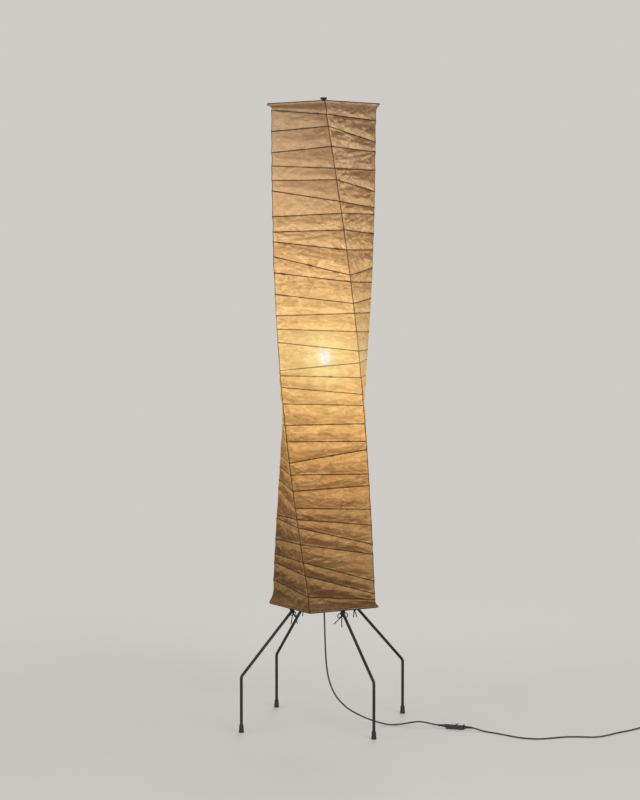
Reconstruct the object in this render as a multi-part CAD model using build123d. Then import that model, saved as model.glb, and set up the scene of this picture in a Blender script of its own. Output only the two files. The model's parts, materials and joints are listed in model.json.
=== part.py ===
"""Paper floor lamp: a twisted square lantern of paper on bamboo ribs, on four bent wire legs.

Millimetres, +Z up. The origin is on the floor, on the lamp's axis. The front is -Y, and every angle
round the axis is counted from the front towards +X.
"""
import os
from math import atan2, cos, pi, radians, sin, sqrt, tan

from build123d import *

# General clearances
SLIP = 0.1            # radial clearance of a rod or tube in the bore that holds it
GAP = 0.3             # clearance between pieces that are tied, pasted or turned
BUTT = 0.5            # end clearance of a rod in a blind hole

# Legs and feet
LEG_COUNT = 4
LEG_D = 9.0
FOOT_CIRCLE_R = 292.0
KNEE_Z = 171.0
KNEE_BEND_R = 15.0
FOOT_FLOOR_D = 15.6
FOOT_TOP_D = 12.6
FOOT_H = 24.0
FOOT_SOLE = 5.0       # rubber under the leg's end
FOOT_LIP = 3.0        # upright rim of the foot at the floor

# Hub that the legs plug into
HUB_R = 36.0
HUB_TIP_R = 11.0
HUB_FACE_R = 23.0     # radius at which a leg's axis enters the hub's cone
HUB_WALL = 9.0
SOCKET_DEPTH = 20.0
COLLAR_R = 11.0
COLLAR_H = 18.0
STEM_SEAT = 14.0
LEG_SCREW_D = 4.0
LEG_SCREW_R = 19.0    # radius from the lamp's axis
LEG_SCREW_RECESS = 1.0
LEG_SCREW_KEY = 2.0
LEG_SCREW_KEY_DEPTH = 2.5

# Gland under the hub
GLAND_D = 12.0
GLAND_DEPTH = 9.0
GLAND_FLANGE_D = 18.0
GLAND_FLANGE_T = 4.0

# Stem
STEM_TOP_Z = 1036.0
STEM_D = 12.0
STEM_WALL = 1.2
COUPLING_D = 16.0
COUPLING_L = 40.0
COUPLING_WEB = 4.0
NIPPLE_D = 9.2
NIPPLE_WALL = 1.1
NIPPLE_L = 36.0
NIPPLE_IN_STEM = 18.0

# Harp that carries the top rim
HARP_HALF_W = 55.0
HARP_WIRE_D = 4.0
HARP_BAR_W = 14.0
HARP_BAR_T = 3.0
HARP_BOSS_D = 9.0
HARP_BOSS_H = 12.0
HARP_BOSS_FLOOR = 2.0
STUD_D = 6.0
STUD_SHOULDER_D = 11.0
STUD_SHOULDER_H = 12.0

# Lampholder and bulb
HOLDER_D = 34.0
HOLDER_WALL = 1.6
HOLDER_CAP_H = 22.0
HOLDER_CAP_CHAMFER = 7.3
HOLDER_EDGE_R = 0.5
HOLDER_SHELL_H = 34.0
INSULATOR_T = 5.0
SLEEVE_WALL = 0.7
SLEEVE_L = 26.0
CONTACT_D = 9.0
CONTACT_T = 1.5
BULB_CAP_D = 26.0
BULB_CAP_H = 24.0
BULB_TIP_D = 9.0
BULB_TIP_H = 1.6
BULB_DISC_D = 18.0
BULB_DISC_T = 2.0
BULB_D = 60.0
BULB_NECK_H = 24.0    # from the top of the screw cap to where the globe begins
BULB_SHOULDER = 30.0  # degrees under the globe's widest line at which the neck begins
BULB_WALL = 1.0

# Shade
SHADE_BOTTOM_Z = 366.0
SHADE_H = 1546.0
SHADE_TWIST = 75.0
TWIST_WAVE = 2.0      # degrees that the twist is ahead in the lower half, and behind in the upper
BOTTOM_CORNER = 90.0  # angle of the first corner at the bottom rim
RIM_REACH = 177.0     # half diagonal of the paper at both rims
LOW_REACH = 165.0     # half diagonal beside the bottom rim
MID_REACH = 175.0     # half diagonal half way up
HIGH_REACH = 160.5    # half diagonal beside the top rim
HEM_H = 7.0
PAPER_T = 0.6
SHEETS_PER_FACE = 16
RIB_T = 2.4
RIB_GAP = 0.6
STRING_D = 1.8
STRING_GAP = 0.7
RIM_WIRE_D = 4.0
RIM_CORNER_R = 6.0
RIM_SPOKE_D = 3.0
RIM_EYE_D = 18.0
RIM_EYE_T = 3.0

# Heights of each rib at the four corners, in thousandths of the shade's height, from the top down
RIBS = (
    (973, 966, 979, 986),
    (950, 924, 918, 944),
    (911, 905, 895, 902),
    (869, 869, 879, 876),
    (847, 827, 827, 847),
    (805, 795, 814, 827),
    (782, 782, 776, 776),
    (750, 743, 740, 746),
    (711, 711, 727, 727),
    (662, 675, 711, 698),
    (649, 646, 659, 666),
    (607, 614, 627, 624),
    (588, 585, 582, 582),
    (552, 546, 549, 556),
    (514, 510, 527, 530),
    (491, 491, 475, 475),
    (462, 459, 462, 465),
    (429, 426, 436, 442),
    (407, 400, 400, 410),
    (371, 358, 358, 368),
    (336, 339, 336, 336),
    (320, 326, 300, 294),
    (271, 274, 274, 271),
    (248, 258, 248, 239),
    (200, 226, 232, 206),
    (168, 161, 177, 184),
    (129, 129, 171, 168),
    (109, 103, 129, 135),
    (54, 54, 100, 100),
    (28, 41, 83, 74),
    (16, 25, 48, 32),
)
RIBS_PER_NODE = 8

# Finial nut
FINIAL_D = 20.0
FINIAL_T = 6.4
FINIAL_EDGE_R = 1.6
FINIAL_NECK_D = 10.0
FINIAL_NECK_H = 12.2
FINIAL_ROOF = 2.0     # metal over the stud's end

# String ties between the bottom rim and the legs, which pass under the middles of its sides
TIE_SPAN = 12.2       # upright distance from a leg's axis to the rim, less the leg's radius
TIE_D = 2.0
TIE_KNOT_D = 5.0
TIE_LOOP_R = 6.0
TIE_LOOP_DROP = 3.0   # of a loop's middle under the knot
TIE_TAIL_OUT = 2.0    # how far the tails stand out from the knot
TIE_TAILS = (         # sideways reach and drop of each tail, at its bend and at its end
    ((-9.0, 8.7), (-11.7, 26.0)),
    ((7.0, 11.3), (9.1, 34.0)),
)

# Cord, switch and plug
CORD_D = 5.0
CORD_LIFT = 0.1       # rest height of the cord's underside
CORD_LEAD = 24.0      # straight run of the cord out of the switch, and into the coil
BEND_SHARE = 0.45     # share of the shorter of two runs that a bend takes up
SWITCH_AT = (414.0, 6.0)
SWITCH_HEADING = -8.0
SWITCH_L = 58.0
SWITCH_W = 24.0
SWITCH_H = 15.0
SWITCH_CORNER_R = 7.0
SWITCH_EDGE_R = 2.0
SWITCH_NOSE_D = 9.5
SWITCH_NOSE_L = 7.0
SWITCH_FLOOR = 2.0
ROCKER_L = 17.0
ROCKER_W = 10.0
ROCKER_TILT = 8.0     # half of the rocker's travel, in degrees
ROCKER_SINK = 3.5     # depth of the rocker's axle under the switch's top
ROCKER_RISE = 4.5     # height of the rocker's ends over its axle
ROCKER_DIP = 3.0      # height of the rocker's middle over its axle
ROCKER_SKIRT = 2.0    # depth of the rocker's ends under its axle
ROCKER_BELLY_R = 7.0
AXLE_D = 2.5
AXLE_STUB = 1.5
SWITCH_SCREW_D = 2.8
SWITCH_SCREW_HEAD_D = 5.4
SWITCH_SCREW_HEAD_T = 2.0
SWITCH_SCREW_L = 9.0
SWITCH_SCREW_X = 20.0
PLUG_L = 36.0
PLUG_W = 25.0
PLUG_T = 16.0
PLUG_CORNER_R = 5.0
PLUG_NOSE_D = 9.5
PLUG_NOSE_L = 9.0
BLADE_W = 6.3
BLADE_T = 1.5
BLADE_L = 17.0
BLADE_ROOT = 8.0
BLADE_SPACING = 12.7

# The cord's spare length is a flat coil of two layers
COIL_START = (986.0, 189.0)
COIL_HEADING = 62.0
COIL_OUTER_R = 38.0
COIL_HALF_TURNS = 6   # in each layer
COIL_PITCH = 5.5      # from one turn to the next, and from one layer to the next
COIL_TAIL = 34.0      # straight end that clears the coil on its way to the plug

# Worked out from the values above
LEG_ANGLES = [45.0 + k * 360.0 / LEG_COUNT for k in range(LEG_COUNT)]
SHADE_TOP_Z = SHADE_BOTTOM_Z + SHADE_H
RIM_HALF_SIDE = RIM_REACH / sqrt(2) - PAPER_T - GAP - RIM_WIRE_D / 2
BOTTOM_RIM_Z = SHADE_BOTTOM_Z + RIM_WIRE_D / 2
LEG_AT_RIM_Z = BOTTOM_RIM_Z - RIM_WIRE_D / 2 - TIE_SPAN - LEG_D / 2
SLOPE = atan2(LEG_AT_RIM_Z - KNEE_Z, FOOT_CIRCLE_R - RIM_HALF_SIDE)
HUB_FACE_Z = KNEE_Z + (FOOT_CIRCLE_R - HUB_FACE_R) * tan(SLOPE)
HUB_TIP_Z = HUB_FACE_Z - (HUB_FACE_R - HUB_TIP_R) / tan(SLOPE)
HUB_EDGE_Z = HUB_FACE_Z + (HUB_R - HUB_FACE_R) / tan(SLOPE)
HUB_SHOULDER_Z = HUB_EDGE_Z + HUB_WALL
HUB_TOP_Z = HUB_SHOULDER_Z + COLLAR_H
STEM_BOTTOM_Z = HUB_TOP_Z - STEM_SEAT
CORD_TOP_Z = HUB_TIP_Z - GLAND_FLANGE_T
CORD_PASS_R = CORD_D / 2 + SLIP
STEM_BORE_R = STEM_D / 2 - STEM_WALL
COUPLING_Z = (STEM_BOTTOM_Z + STEM_TOP_Z) / 2
SADDLE_TOP_Z = STEM_TOP_Z + HARP_BAR_T
SHELL_Z = SADDLE_TOP_Z + HOLDER_CAP_H
SHELL_TOP_Z = SHELL_Z + HOLDER_SHELL_H
CONTACT_Z = SHELL_Z + INSULATOR_T
BULB_TIP_Z = CONTACT_Z + CONTACT_T + GAP
BULB_DISC_Z = BULB_TIP_Z + BULB_TIP_H
BULB_CAP_Z = BULB_DISC_Z + BULB_DISC_T
BULB_NECK_Z = BULB_CAP_Z + BULB_CAP_H
SLEEVE_BORE_R = BULB_CAP_D / 2 + GAP
TOP_RIM_Z = SHADE_TOP_Z - RIM_WIRE_D / 2
EYE_TOP_Z = TOP_RIM_Z + RIM_EYE_T / 2
EYE_BOTTOM_Z = TOP_RIM_Z - RIM_EYE_T / 2
BRIDGE_TOP_Z = EYE_BOTTOM_Z - STUD_SHOULDER_H
FINIAL_TOP_Z = EYE_TOP_Z + FINIAL_NECK_H + FINIAL_T
STUD_TOP_Z = FINIAL_TOP_Z - FINIAL_ROOF - BUTT
FLOOR_CORD_Z = CORD_D / 2 + CORD_LIFT
SWITCH_CORD_Z = SWITCH_H / 2
AXLE_Z = SWITCH_H - ROCKER_SINK


def polar(radius, angle, z):
    """Point at a radius and at an angle from the front towards +X."""
    return Vector(radius * sin(radians(angle)), -radius * cos(radians(angle)), z)


def turned(shape, angle):
    """A shape drawn along +X, turned to stand at an angle from the front."""
    return Rot(0, 0, angle - 90.0) * shape


def disc(radius, low, high):
    """Upright cylinder on the lamp's axis."""
    return Pos(0, 0, low) * Cylinder(radius, high - low, align=(Align.CENTER, Align.CENTER, Align.MIN))


def ring(outer, inner, low, high):
    """Upright tube on the lamp's axis."""
    return disc(outer, low, high) - disc(inner, low, high)


def tube_along(path, diameter):
    """Round rod whose middle follows a path."""
    return sweep(Plane(origin=path @ 0, z_dir=path % 0) * Circle(diameter / 2), path=path)


def leg_point(radius):
    """Point of a leg's sloping axis at a radius, in the leg's own XZ plane."""
    return Vector(radius, 0, KNEE_Z + (FOOT_CIRCLE_R - radius) * tan(SLOPE))


# Stand
def leg():
    """Wire leg from its foot up to the hub, in the XZ plane."""
    top = leg_point(HUB_FACE_R - (SOCKET_DEPTH - BUTT) * cos(SLOPE))
    path = FilletPolyline(
        (FOOT_CIRCLE_R, 0, FOOT_SOLE + BUTT),
        (FOOT_CIRCLE_R, 0, KNEE_Z),
        tuple(top),
        radius=KNEE_BEND_R,
    )
    return tube_along(path, LEG_D)


def foot():
    """Flared rubber cap over a leg's end."""
    taper = Cone(FOOT_FLOOR_D / 2, FOOT_TOP_D / 2, FOOT_H - FOOT_LIP,
                 align=(Align.CENTER, Align.CENTER, Align.MIN))
    cap = disc(FOOT_FLOOR_D / 2, 0, FOOT_LIP) + Pos(0, 0, FOOT_LIP) * taper
    cap -= disc(LEG_D / 2 + SLIP, FOOT_SOLE, FOOT_H)
    return Pos(FOOT_CIRCLE_R, 0, 0) * cap


def leg_screw_place():
    """Where a set screw's tip and top are, in a leg's XZ plane."""
    leg_top = leg_point(LEG_SCREW_R - LEG_SCREW_D / 2).Z + LEG_D / 2 / cos(SLOPE)
    return leg_top + SLIP, HUB_SHOULDER_Z - LEG_SCREW_RECESS


def hub():
    """Turned hub with four slanting leg sockets, a stem seat and a cord hole."""
    outline = Polyline(
        (0, HUB_TIP_Z), (HUB_TIP_R, HUB_TIP_Z), (HUB_R, HUB_EDGE_Z), (HUB_R, HUB_SHOULDER_Z),
        (COLLAR_R, HUB_SHOULDER_Z), (COLLAR_R, HUB_TOP_Z), (0, HUB_TOP_Z), close=True,
    )
    body = revolve(Plane.XZ * make_face(outline), Axis.Z)
    inward = Vector(-cos(SLOPE), 0, sin(SLOPE))
    mouth = leg_point(HUB_FACE_R) - inward * LEG_D
    socket = Plane(origin=mouth, z_dir=inward) * Cylinder(
        LEG_D / 2 + SLIP, SOCKET_DEPTH + LEG_D, align=(Align.CENTER, Align.CENTER, Align.MIN))
    screw_hole = Pos(LEG_SCREW_R, 0, 0) * disc(
        LEG_SCREW_D / 2 + SLIP, leg_point(LEG_SCREW_R).Z, HUB_SHOULDER_Z)
    for angle in LEG_ANGLES:
        body -= turned(socket, angle)
        body -= turned(screw_hole, angle)
    body -= disc(STEM_D / 2 + SLIP, STEM_BOTTOM_Z, HUB_TOP_Z)
    body -= disc(GLAND_D / 2 + SLIP, HUB_TIP_Z, HUB_TIP_Z + GLAND_DEPTH + BUTT)
    return body - disc(CORD_PASS_R, HUB_TIP_Z, HUB_TOP_Z)


def leg_screws():
    """Four set screws, with hexagon sockets, that hold the legs in the hub."""
    tip, top = leg_screw_place()
    key = extrude(RegularPolygon(LEG_SCREW_KEY / 2, 6, major_radius=False), LEG_SCREW_KEY_DEPTH)
    screw = disc(LEG_SCREW_D / 2, tip, top) - Pos(0, 0, top - LEG_SCREW_KEY_DEPTH) * key
    return [turned(Pos(LEG_SCREW_R, 0, 0) * screw, angle) for angle in LEG_ANGLES]


def gland():
    """Flanged bush that the cord leaves the hub through."""
    bush = disc(GLAND_D / 2, HUB_TIP_Z, HUB_TIP_Z + GLAND_DEPTH)
    bush += disc(GLAND_FLANGE_D / 2, CORD_TOP_Z, HUB_TIP_Z)
    return bush - disc(CORD_PASS_R, CORD_TOP_Z, HUB_TIP_Z + GLAND_DEPTH)


def coupling():
    """Sleeve that joins the two stem tubes end to end."""
    low = COUPLING_Z - COUPLING_L / 2
    high = COUPLING_Z + COUPLING_L / 2
    sleeve = ring(COUPLING_D / 2, STEM_BORE_R, low, high)
    sleeve -= disc(STEM_D / 2 + SLIP, low, COUPLING_Z - COUPLING_WEB / 2)
    return sleeve - disc(STEM_D / 2 + SLIP, COUPLING_Z + COUPLING_WEB / 2, high)


# Harp
def harp_bar(low, boss_low, hole_d):
    """Flat bar across the harp, with a centre hole and a socketed boss at each end."""
    bar = Pos(0, 0, low) * Box(2 * HARP_HALF_W, HARP_BAR_W, HARP_BAR_T,
                               align=(Align.CENTER, Align.CENTER, Align.MIN))
    for side in (-1, 1):
        bar += Pos(side * HARP_HALF_W, 0, 0) * disc(HARP_BOSS_D / 2, boss_low, boss_low + HARP_BOSS_H)
    return bar - disc(hole_d / 2 + SLIP, low, low + HARP_BAR_T)


def harp_saddle():
    """Lower bar, clamped between the stem and the lampholder."""
    bar = harp_bar(STEM_TOP_Z, STEM_TOP_Z, NIPPLE_D)
    for side in (-1, 1):
        bar -= Pos(side * HARP_HALF_W, 0, 0) * disc(
            HARP_WIRE_D / 2 + SLIP, STEM_TOP_Z + HARP_BOSS_FLOOR, STEM_TOP_Z + HARP_BOSS_H)
    return bar


def harp_bridge():
    """Upper bar, which carries the stud for the top rim."""
    boss_low = BRIDGE_TOP_Z - HARP_BOSS_H
    bar = harp_bar(BRIDGE_TOP_Z - HARP_BAR_T, boss_low, STUD_D)
    for side in (-1, 1):
        bar -= Pos(side * HARP_HALF_W, 0, 0) * disc(
            HARP_WIRE_D / 2 + SLIP, boss_low, BRIDGE_TOP_Z - HARP_BOSS_FLOOR)
    return bar


def harp_wire(side):
    """Upright wire beside the bulb."""
    low = STEM_TOP_Z + HARP_BOSS_FLOOR + BUTT / 2
    high = BRIDGE_TOP_Z - HARP_BOSS_FLOOR - BUTT / 2
    return Pos(side * HARP_HALF_W, 0, 0) * disc(HARP_WIRE_D / 2, low, high)


def top_stud():
    """Shouldered stud from the bridge up through the top rim's eye."""
    stud = disc(STUD_D / 2, BRIDGE_TOP_Z - HARP_BAR_T, STUD_TOP_Z)
    return stud + disc(STUD_SHOULDER_D / 2, BRIDGE_TOP_Z, EYE_BOTTOM_Z)


# Lampholder and bulb
def holder_cap():
    """Domed cup under the lampholder, screwed to the nipple."""
    cup = disc(HOLDER_D / 2, SADDLE_TOP_Z, SHELL_Z)
    cup = chamfer(cup.edges().group_by(Axis.Z)[0], HOLDER_CAP_CHAMFER)
    cup -= disc(HOLDER_D / 2 - HOLDER_CAP_CHAMFER - HOLDER_WALL, SADDLE_TOP_Z + HOLDER_WALL, SHELL_Z)
    return cup - disc(NIPPLE_D / 2 + SLIP, SADDLE_TOP_Z, SHELL_Z)


def holder_shell():
    """Outer sleeve of the lampholder, closed below by the insulator."""
    shell = ring(HOLDER_D / 2, HOLDER_D / 2 - HOLDER_WALL, SHELL_Z, SHELL_TOP_Z)
    return fillet(shell.edges().group_by(Axis.Z)[-1], HOLDER_EDGE_R)


def bulb_form(inset):
    """Pear shape over the screw cap, drawn in all round by an inset."""
    globe_r = BULB_D / 2 - inset
    neck_r = BULB_CAP_D / 2 - inset
    share_out = cos(radians(BULB_SHOULDER))
    share_up = sin(radians(BULB_SHOULDER))
    globe_z = BULB_NECK_Z + BULB_NECK_H + BULB_D / 2 * share_up
    shoulder = (globe_r * share_out, globe_z - globe_r * share_up)
    outline = [
        Line((0, BULB_NECK_Z), (neck_r, BULB_NECK_Z)),
        Spline((neck_r, BULB_NECK_Z), shoulder, tangents=((0, 1), (share_up, share_out))),
        ThreePointArc(shoulder, (globe_r * share_out, globe_z + globe_r * share_up), (0, globe_z + globe_r)),
        Line((0, globe_z + globe_r), (0, BULB_NECK_Z)),
    ]
    return revolve(Plane.XZ * make_face(outline), Axis.Z)


def bulb_glass():
    """Blown glass with a closed round end, open at its neck into the screw cap."""
    return bulb_form(0) - bulb_form(BULB_WALL)


# Shade
def rib_z(thousandths):
    """Height of a point given in thousandths of the shade's height."""
    return SHADE_BOTTOM_Z + SHADE_H * thousandths / 1000


def reach_at(z):
    """Half diagonal of the paper at a height between the rims."""
    share = (z - SHADE_BOTTOM_Z) / SHADE_H
    taper = LOW_REACH + (HIGH_REACH - LOW_REACH) * share
    return taper + (MID_REACH - (LOW_REACH + HIGH_REACH) / 2) * sin(pi * share) ** 2


def shade_levels():
    """The height and half diagonal of each corner, at every hem and rib from the top down."""
    levels = [[(z, RIM_REACH)] * 4 for z in (SHADE_TOP_Z, SHADE_TOP_Z - HEM_H)]
    levels += [[(rib_z(h), reach_at(rib_z(h))) for h in rib] for rib in RIBS]
    levels += [[(z, RIM_REACH)] * 4 for z in (SHADE_BOTTOM_Z + HEM_H, SHADE_BOTTOM_Z)]
    return levels


def corner_angle(z, corner):
    """Angle of a corner of the twisted column: the hems stand straight."""
    share = min(max((z - SHADE_BOTTOM_Z - HEM_H) / (SHADE_H - 2 * HEM_H), 0), 1)
    return BOTTOM_CORNER - SHADE_TWIST * share - TWIST_WAVE * sin(2 * pi * share) + 90.0 * corner


def corner_point(level, corner, inset=0.0, rise=0.0):
    """A corner of the column at one level, moved in square to both faces, and up."""
    z, reach = level[corner % 4]
    return polar(reach - inset * sqrt(2), corner_angle(z, corner), z + rise)


def paper_section(level, corner):
    """The sheet's cut edge along one level, as a thin parallelogram."""
    left = corner_point(level, corner)
    right = corner_point(level, corner + 1)
    along = (right - left).normalized()
    inward = Vector(0, 0, 1).cross(along).normalized()
    left += along * (PAPER_T + GAP)
    right -= along * (PAPER_T + GAP)
    return Wire.make_polygon([left, right, right + inward * PAPER_T, left + inward * PAPER_T])


def paper_face(corner):
    """One face of the shade, pasted in sheets that meet on ribs."""
    levels = shade_levels()
    last = len(levels) - 1
    seams = [round(last * k / SHEETS_PER_FACE) for k in range(SHEETS_PER_FACE + 1)]
    sections = [paper_section(level, corner) for level in levels]
    return [Solid.make_loft(sections[a:b + 1], ruled=True) for a, b in zip(seams, seams[1:])]


def rib(level):
    """Closed bamboo hoop inside the paper, bent at the four corners."""
    outside = PAPER_T + RIB_GAP
    inside = outside + RIB_T
    half = RIB_T / 2
    faces = []
    for corner in range(4):
        near = {}
        far = {}
        for inset in (outside, inside):
            for rise in (half, -half):
                near[inset, rise] = corner_point(level, corner, inset, rise)
                far[inset, rise] = corner_point(level, corner + 1, inset, rise)
        for inset in (outside, inside):
            faces.append((near[inset, half], far[inset, half], far[inset, -half], near[inset, -half]))
        for rise in (half, -half):
            faces.append((near[outside, rise], far[outside, rise], far[inside, rise]))
            faces.append((near[outside, rise], far[inside, rise], near[inside, rise]))
    return Solid(Shell([Face(Wire.make_polygon(outline)) for outline in faces]))


def corner_string(corner):
    """String down one corner, tied inside every rib."""
    inset = PAPER_T + RIB_GAP + RIB_T + STRING_GAP + STRING_D / 2
    sections = []
    for level in shade_levels()[1:-1]:
        place = Pos(*corner_point(level, corner, inset))
        sections.append((place * RegularPolygon(STRING_D / 2, 8)).face().outer_wire())
    return Solid.make_loft(sections, ruled=True)


def rim_wire(z):
    """Square of wire with rounded corners, its first corner turned as the paper's is."""
    square = RectangleRounded(2 * RIM_HALF_SIDE, 2 * RIM_HALF_SIDE, RIM_CORNER_R, rotation=45)
    path = (Pos(0, 0, z) * square).face().outer_wire()
    return turned(tube_along(path, RIM_WIRE_D), corner_angle(z, 0))


def top_rim():
    """Top square with four spokes to an eye that sits on the stud."""
    rim = rim_wire(TOP_RIM_Z)
    spoke_end = RIM_HALF_SIDE * sqrt(2) - RIM_CORNER_R * (sqrt(2) - 1)
    spoke_root = RIM_EYE_D / 4
    spoke = Pos(spoke_root, 0, TOP_RIM_Z) * Rot(0, 90, 0) * Cylinder(
        RIM_SPOKE_D / 2, spoke_end - spoke_root, align=(Align.CENTER, Align.CENTER, Align.MIN))
    for corner in range(4):
        rim += turned(spoke, corner_angle(SHADE_TOP_Z, corner))
    rim += disc(RIM_EYE_D / 2, EYE_BOTTOM_Z, EYE_TOP_Z)
    return rim - disc(STUD_D / 2 + GAP, EYE_BOTTOM_Z - RIM_SPOKE_D, EYE_TOP_Z + RIM_SPOKE_D)


def finial():
    """Round nut on a neck, which holds the top rim down on its stud."""
    nut = disc(FINIAL_NECK_D / 2, EYE_TOP_Z, FINIAL_TOP_Z - FINIAL_T)
    nut += disc(FINIAL_D / 2, FINIAL_TOP_Z - FINIAL_T, FINIAL_TOP_Z)
    nut = fillet(nut.edges().group_by(Axis.Z)[-1], FINIAL_EDGE_R)
    return nut - disc(STUD_D / 2 + GAP, EYE_TOP_Z, FINIAL_TOP_Z - FINIAL_ROOF)


# String ties
def tie():
    """String round a leg, drawn up to the bottom rim and finished in a bow, in the leg's XZ plane."""
    rim = Vector(RIM_HALF_SIDE, 0, BOTTOM_RIM_Z)
    knee = Vector(FOOT_CIRCLE_R, 0, KNEE_Z)
    up_leg = Vector(-cos(SLOPE), 0, sin(SLOPE))
    on_leg = knee + up_leg * (rim - knee).dot(up_leg)
    around_r = LEG_D / 2 + GAP + TIE_D / 2
    draw = (rim - on_leg).length - RIM_WIRE_D / 2 - GAP - TIE_D / 2 - around_r
    across = Plane(origin=on_leg, x_dir=(0, 1, 0), z_dir=-up_leg)
    slot = across * Pos(0, draw / 2) * SlotCenterToCenter(draw, 2 * around_r, rotation=90)
    string = tube_along(slot.face().outer_wire(), TIE_D)
    knot = across.from_local_coords(Vector(0, -LEG_D / 2 - GAP - TIE_KNOT_D / 2, 0))
    string += Pos(*knot) * Sphere(TIE_KNOT_D / 2)
    loop = Rot(0, 90, 0) * Torus(TIE_LOOP_R, TIE_D / 2)
    for side, tail_points in zip((-1, 1), TIE_TAILS):
        string += Pos(*(knot + Vector(0, TIE_LOOP_R * side, -TIE_LOOP_DROP))) * loop
        hanging = [knot + Vector(TIE_TAIL_OUT, reach, -drop) for reach, drop in tail_points]
        tail = FilletPolyline(tuple(knot), *(tuple(point) for point in hanging), radius=TIE_LOOP_R)
        string += tube_along(tail, TIE_D)
    return string


# Cord and what is on it
def heading(angle):
    """Level direction at an angle from +X towards +Y."""
    return Vector(cos(radians(angle)), sin(radians(angle)), 0)


SWITCH_WAY = heading(SWITCH_HEADING)
SWITCH_REACH = SWITCH_L / 2 + SWITCH_NOSE_L
COIL_WAY = heading(COIL_HEADING)


def on_switch(offset):
    """Point on the line of the switch, at the cord's height."""
    return Vector(*SWITCH_AT, SWITCH_CORD_Z) + SWITCH_WAY * offset


def drop_route():
    """From the gland down to the floor, over a small arch and into the switch."""
    return [
        Vector(0, 0, CORD_TOP_Z),
        Vector(0, 0, CORD_TOP_Z - 50),
        Vector(3, -1, CORD_TOP_Z - 114),
        Vector(5, -2, CORD_TOP_Z - 178),
        Vector(9, -5, 186),
        Vector(19, -8, 132),
        Vector(40, -9, 86),
        Vector(76, -7, 50),
        Vector(120, -3, 27),
        Vector(164, 0, 12),
        Vector(204, -3, 4),
        Vector(240, 5, 5),
        Vector(272, 15, 11),
        Vector(302, 20, 15),
        Vector(330, 18, 11),
        on_switch(-SWITCH_REACH - CORD_LEAD),
        on_switch(-SWITCH_REACH),
    ]


def floor_route():
    """From the switch along the floor to the coil."""
    laid = [(508, -24), (556, -45), (600, -74), (642, -97), (688, -98), (726, -72), (764, -42), (808, -33),
            (850, -30), (880, 4), (904, 52), (938, 96), (960, 138)]
    start = Vector(*COIL_START, FLOOR_CORD_Z)
    return [
        on_switch(SWITCH_REACH),
        on_switch(SWITCH_REACH + CORD_LEAD),
        *(Vector(x, y, FLOOR_CORD_Z) for x, y in laid),
        start - COIL_WAY * CORD_LEAD,
        start,
    ]


def cord_tube(name, points):
    """Cord along a route, every bend as round as its two runs allow."""
    radii = []
    for before, here, after in zip(points, points[1:], points[2:]):
        run_in = here - before
        run_out = after - here
        half_turn = radians(run_in.get_angle(run_out) / 2)
        radii.append(BEND_SHARE * min(run_in.length, run_out.length) / tan(half_turn))
    path = FilletPolyline(*(tuple(point) for point in points), radius=radii)
    tube = tube_along(path, CORD_D)
    section = pi * CORD_D ** 2 / 4
    print(name, "length", round(path.length, 1), "radii", [round(radius) for radius in radii])
    print(name, "volume over section times length", round(tube.volume / section / path.length, 5))
    return tube


def coil_path():
    """Spiral in on the floor, climb a layer in the innermost half turn, and spiral out on top."""
    step = COIL_PITCH / 2
    inward = [COIL_OUTER_R - step * k for k in range(COIL_HALF_TURNS)]
    inner = COIL_OUTER_R - step * COIL_HALF_TURNS
    turns = [(radius, 0.0) for radius in inward]
    turns += [(inner, COIL_PITCH)]
    turns += [(radius, 0.0) for radius in reversed(inward)]
    way = COIL_WAY
    here = Vector(*COIL_START, FLOOR_CORD_Z)
    edges = [Line(tuple(here), tuple(here + way * CORD_D))]
    here = here + way * CORD_D
    for radius, climb in turns:
        side = Vector(way.Y, -way.X, 0)
        across = side * (2 * radius) + Vector(0, 0, climb)
        middle = here + across / 2 + way * (across.length / 2)
        edges.append(ThreePointArc(tuple(here), tuple(middle), tuple(here + across)))
        here = here + across
        way = -way
    edges.append(Line(tuple(here), tuple(here + way * COIL_TAIL)))
    return Wire(edges), here + way * COIL_TAIL, way


def coil():
    """The coiled spare length as one unbroken tube, with its least gap to itself."""
    path, _, _ = coil_path()
    spacing = CORD_D / 4
    count = int(path.length / spacing)
    points = [path @ (k / count) for k in range(count + 1)]
    skip = int(3 * CORD_D / spacing)
    least = min((points[i] - points[j]).length
                for i in range(0, count + 1)
                for j in range(i + skip, count + 1))
    print("coil length", round(path.length, 1), "least gap to itself", round(least - CORD_D, 2))
    return tube_along(path, CORD_D)


def switch_place():
    """Place of the switch on the floor, its length along +X of the place."""
    return Pos(*SWITCH_AT, 0) * Rot(0, 0, SWITCH_HEADING)


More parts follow.
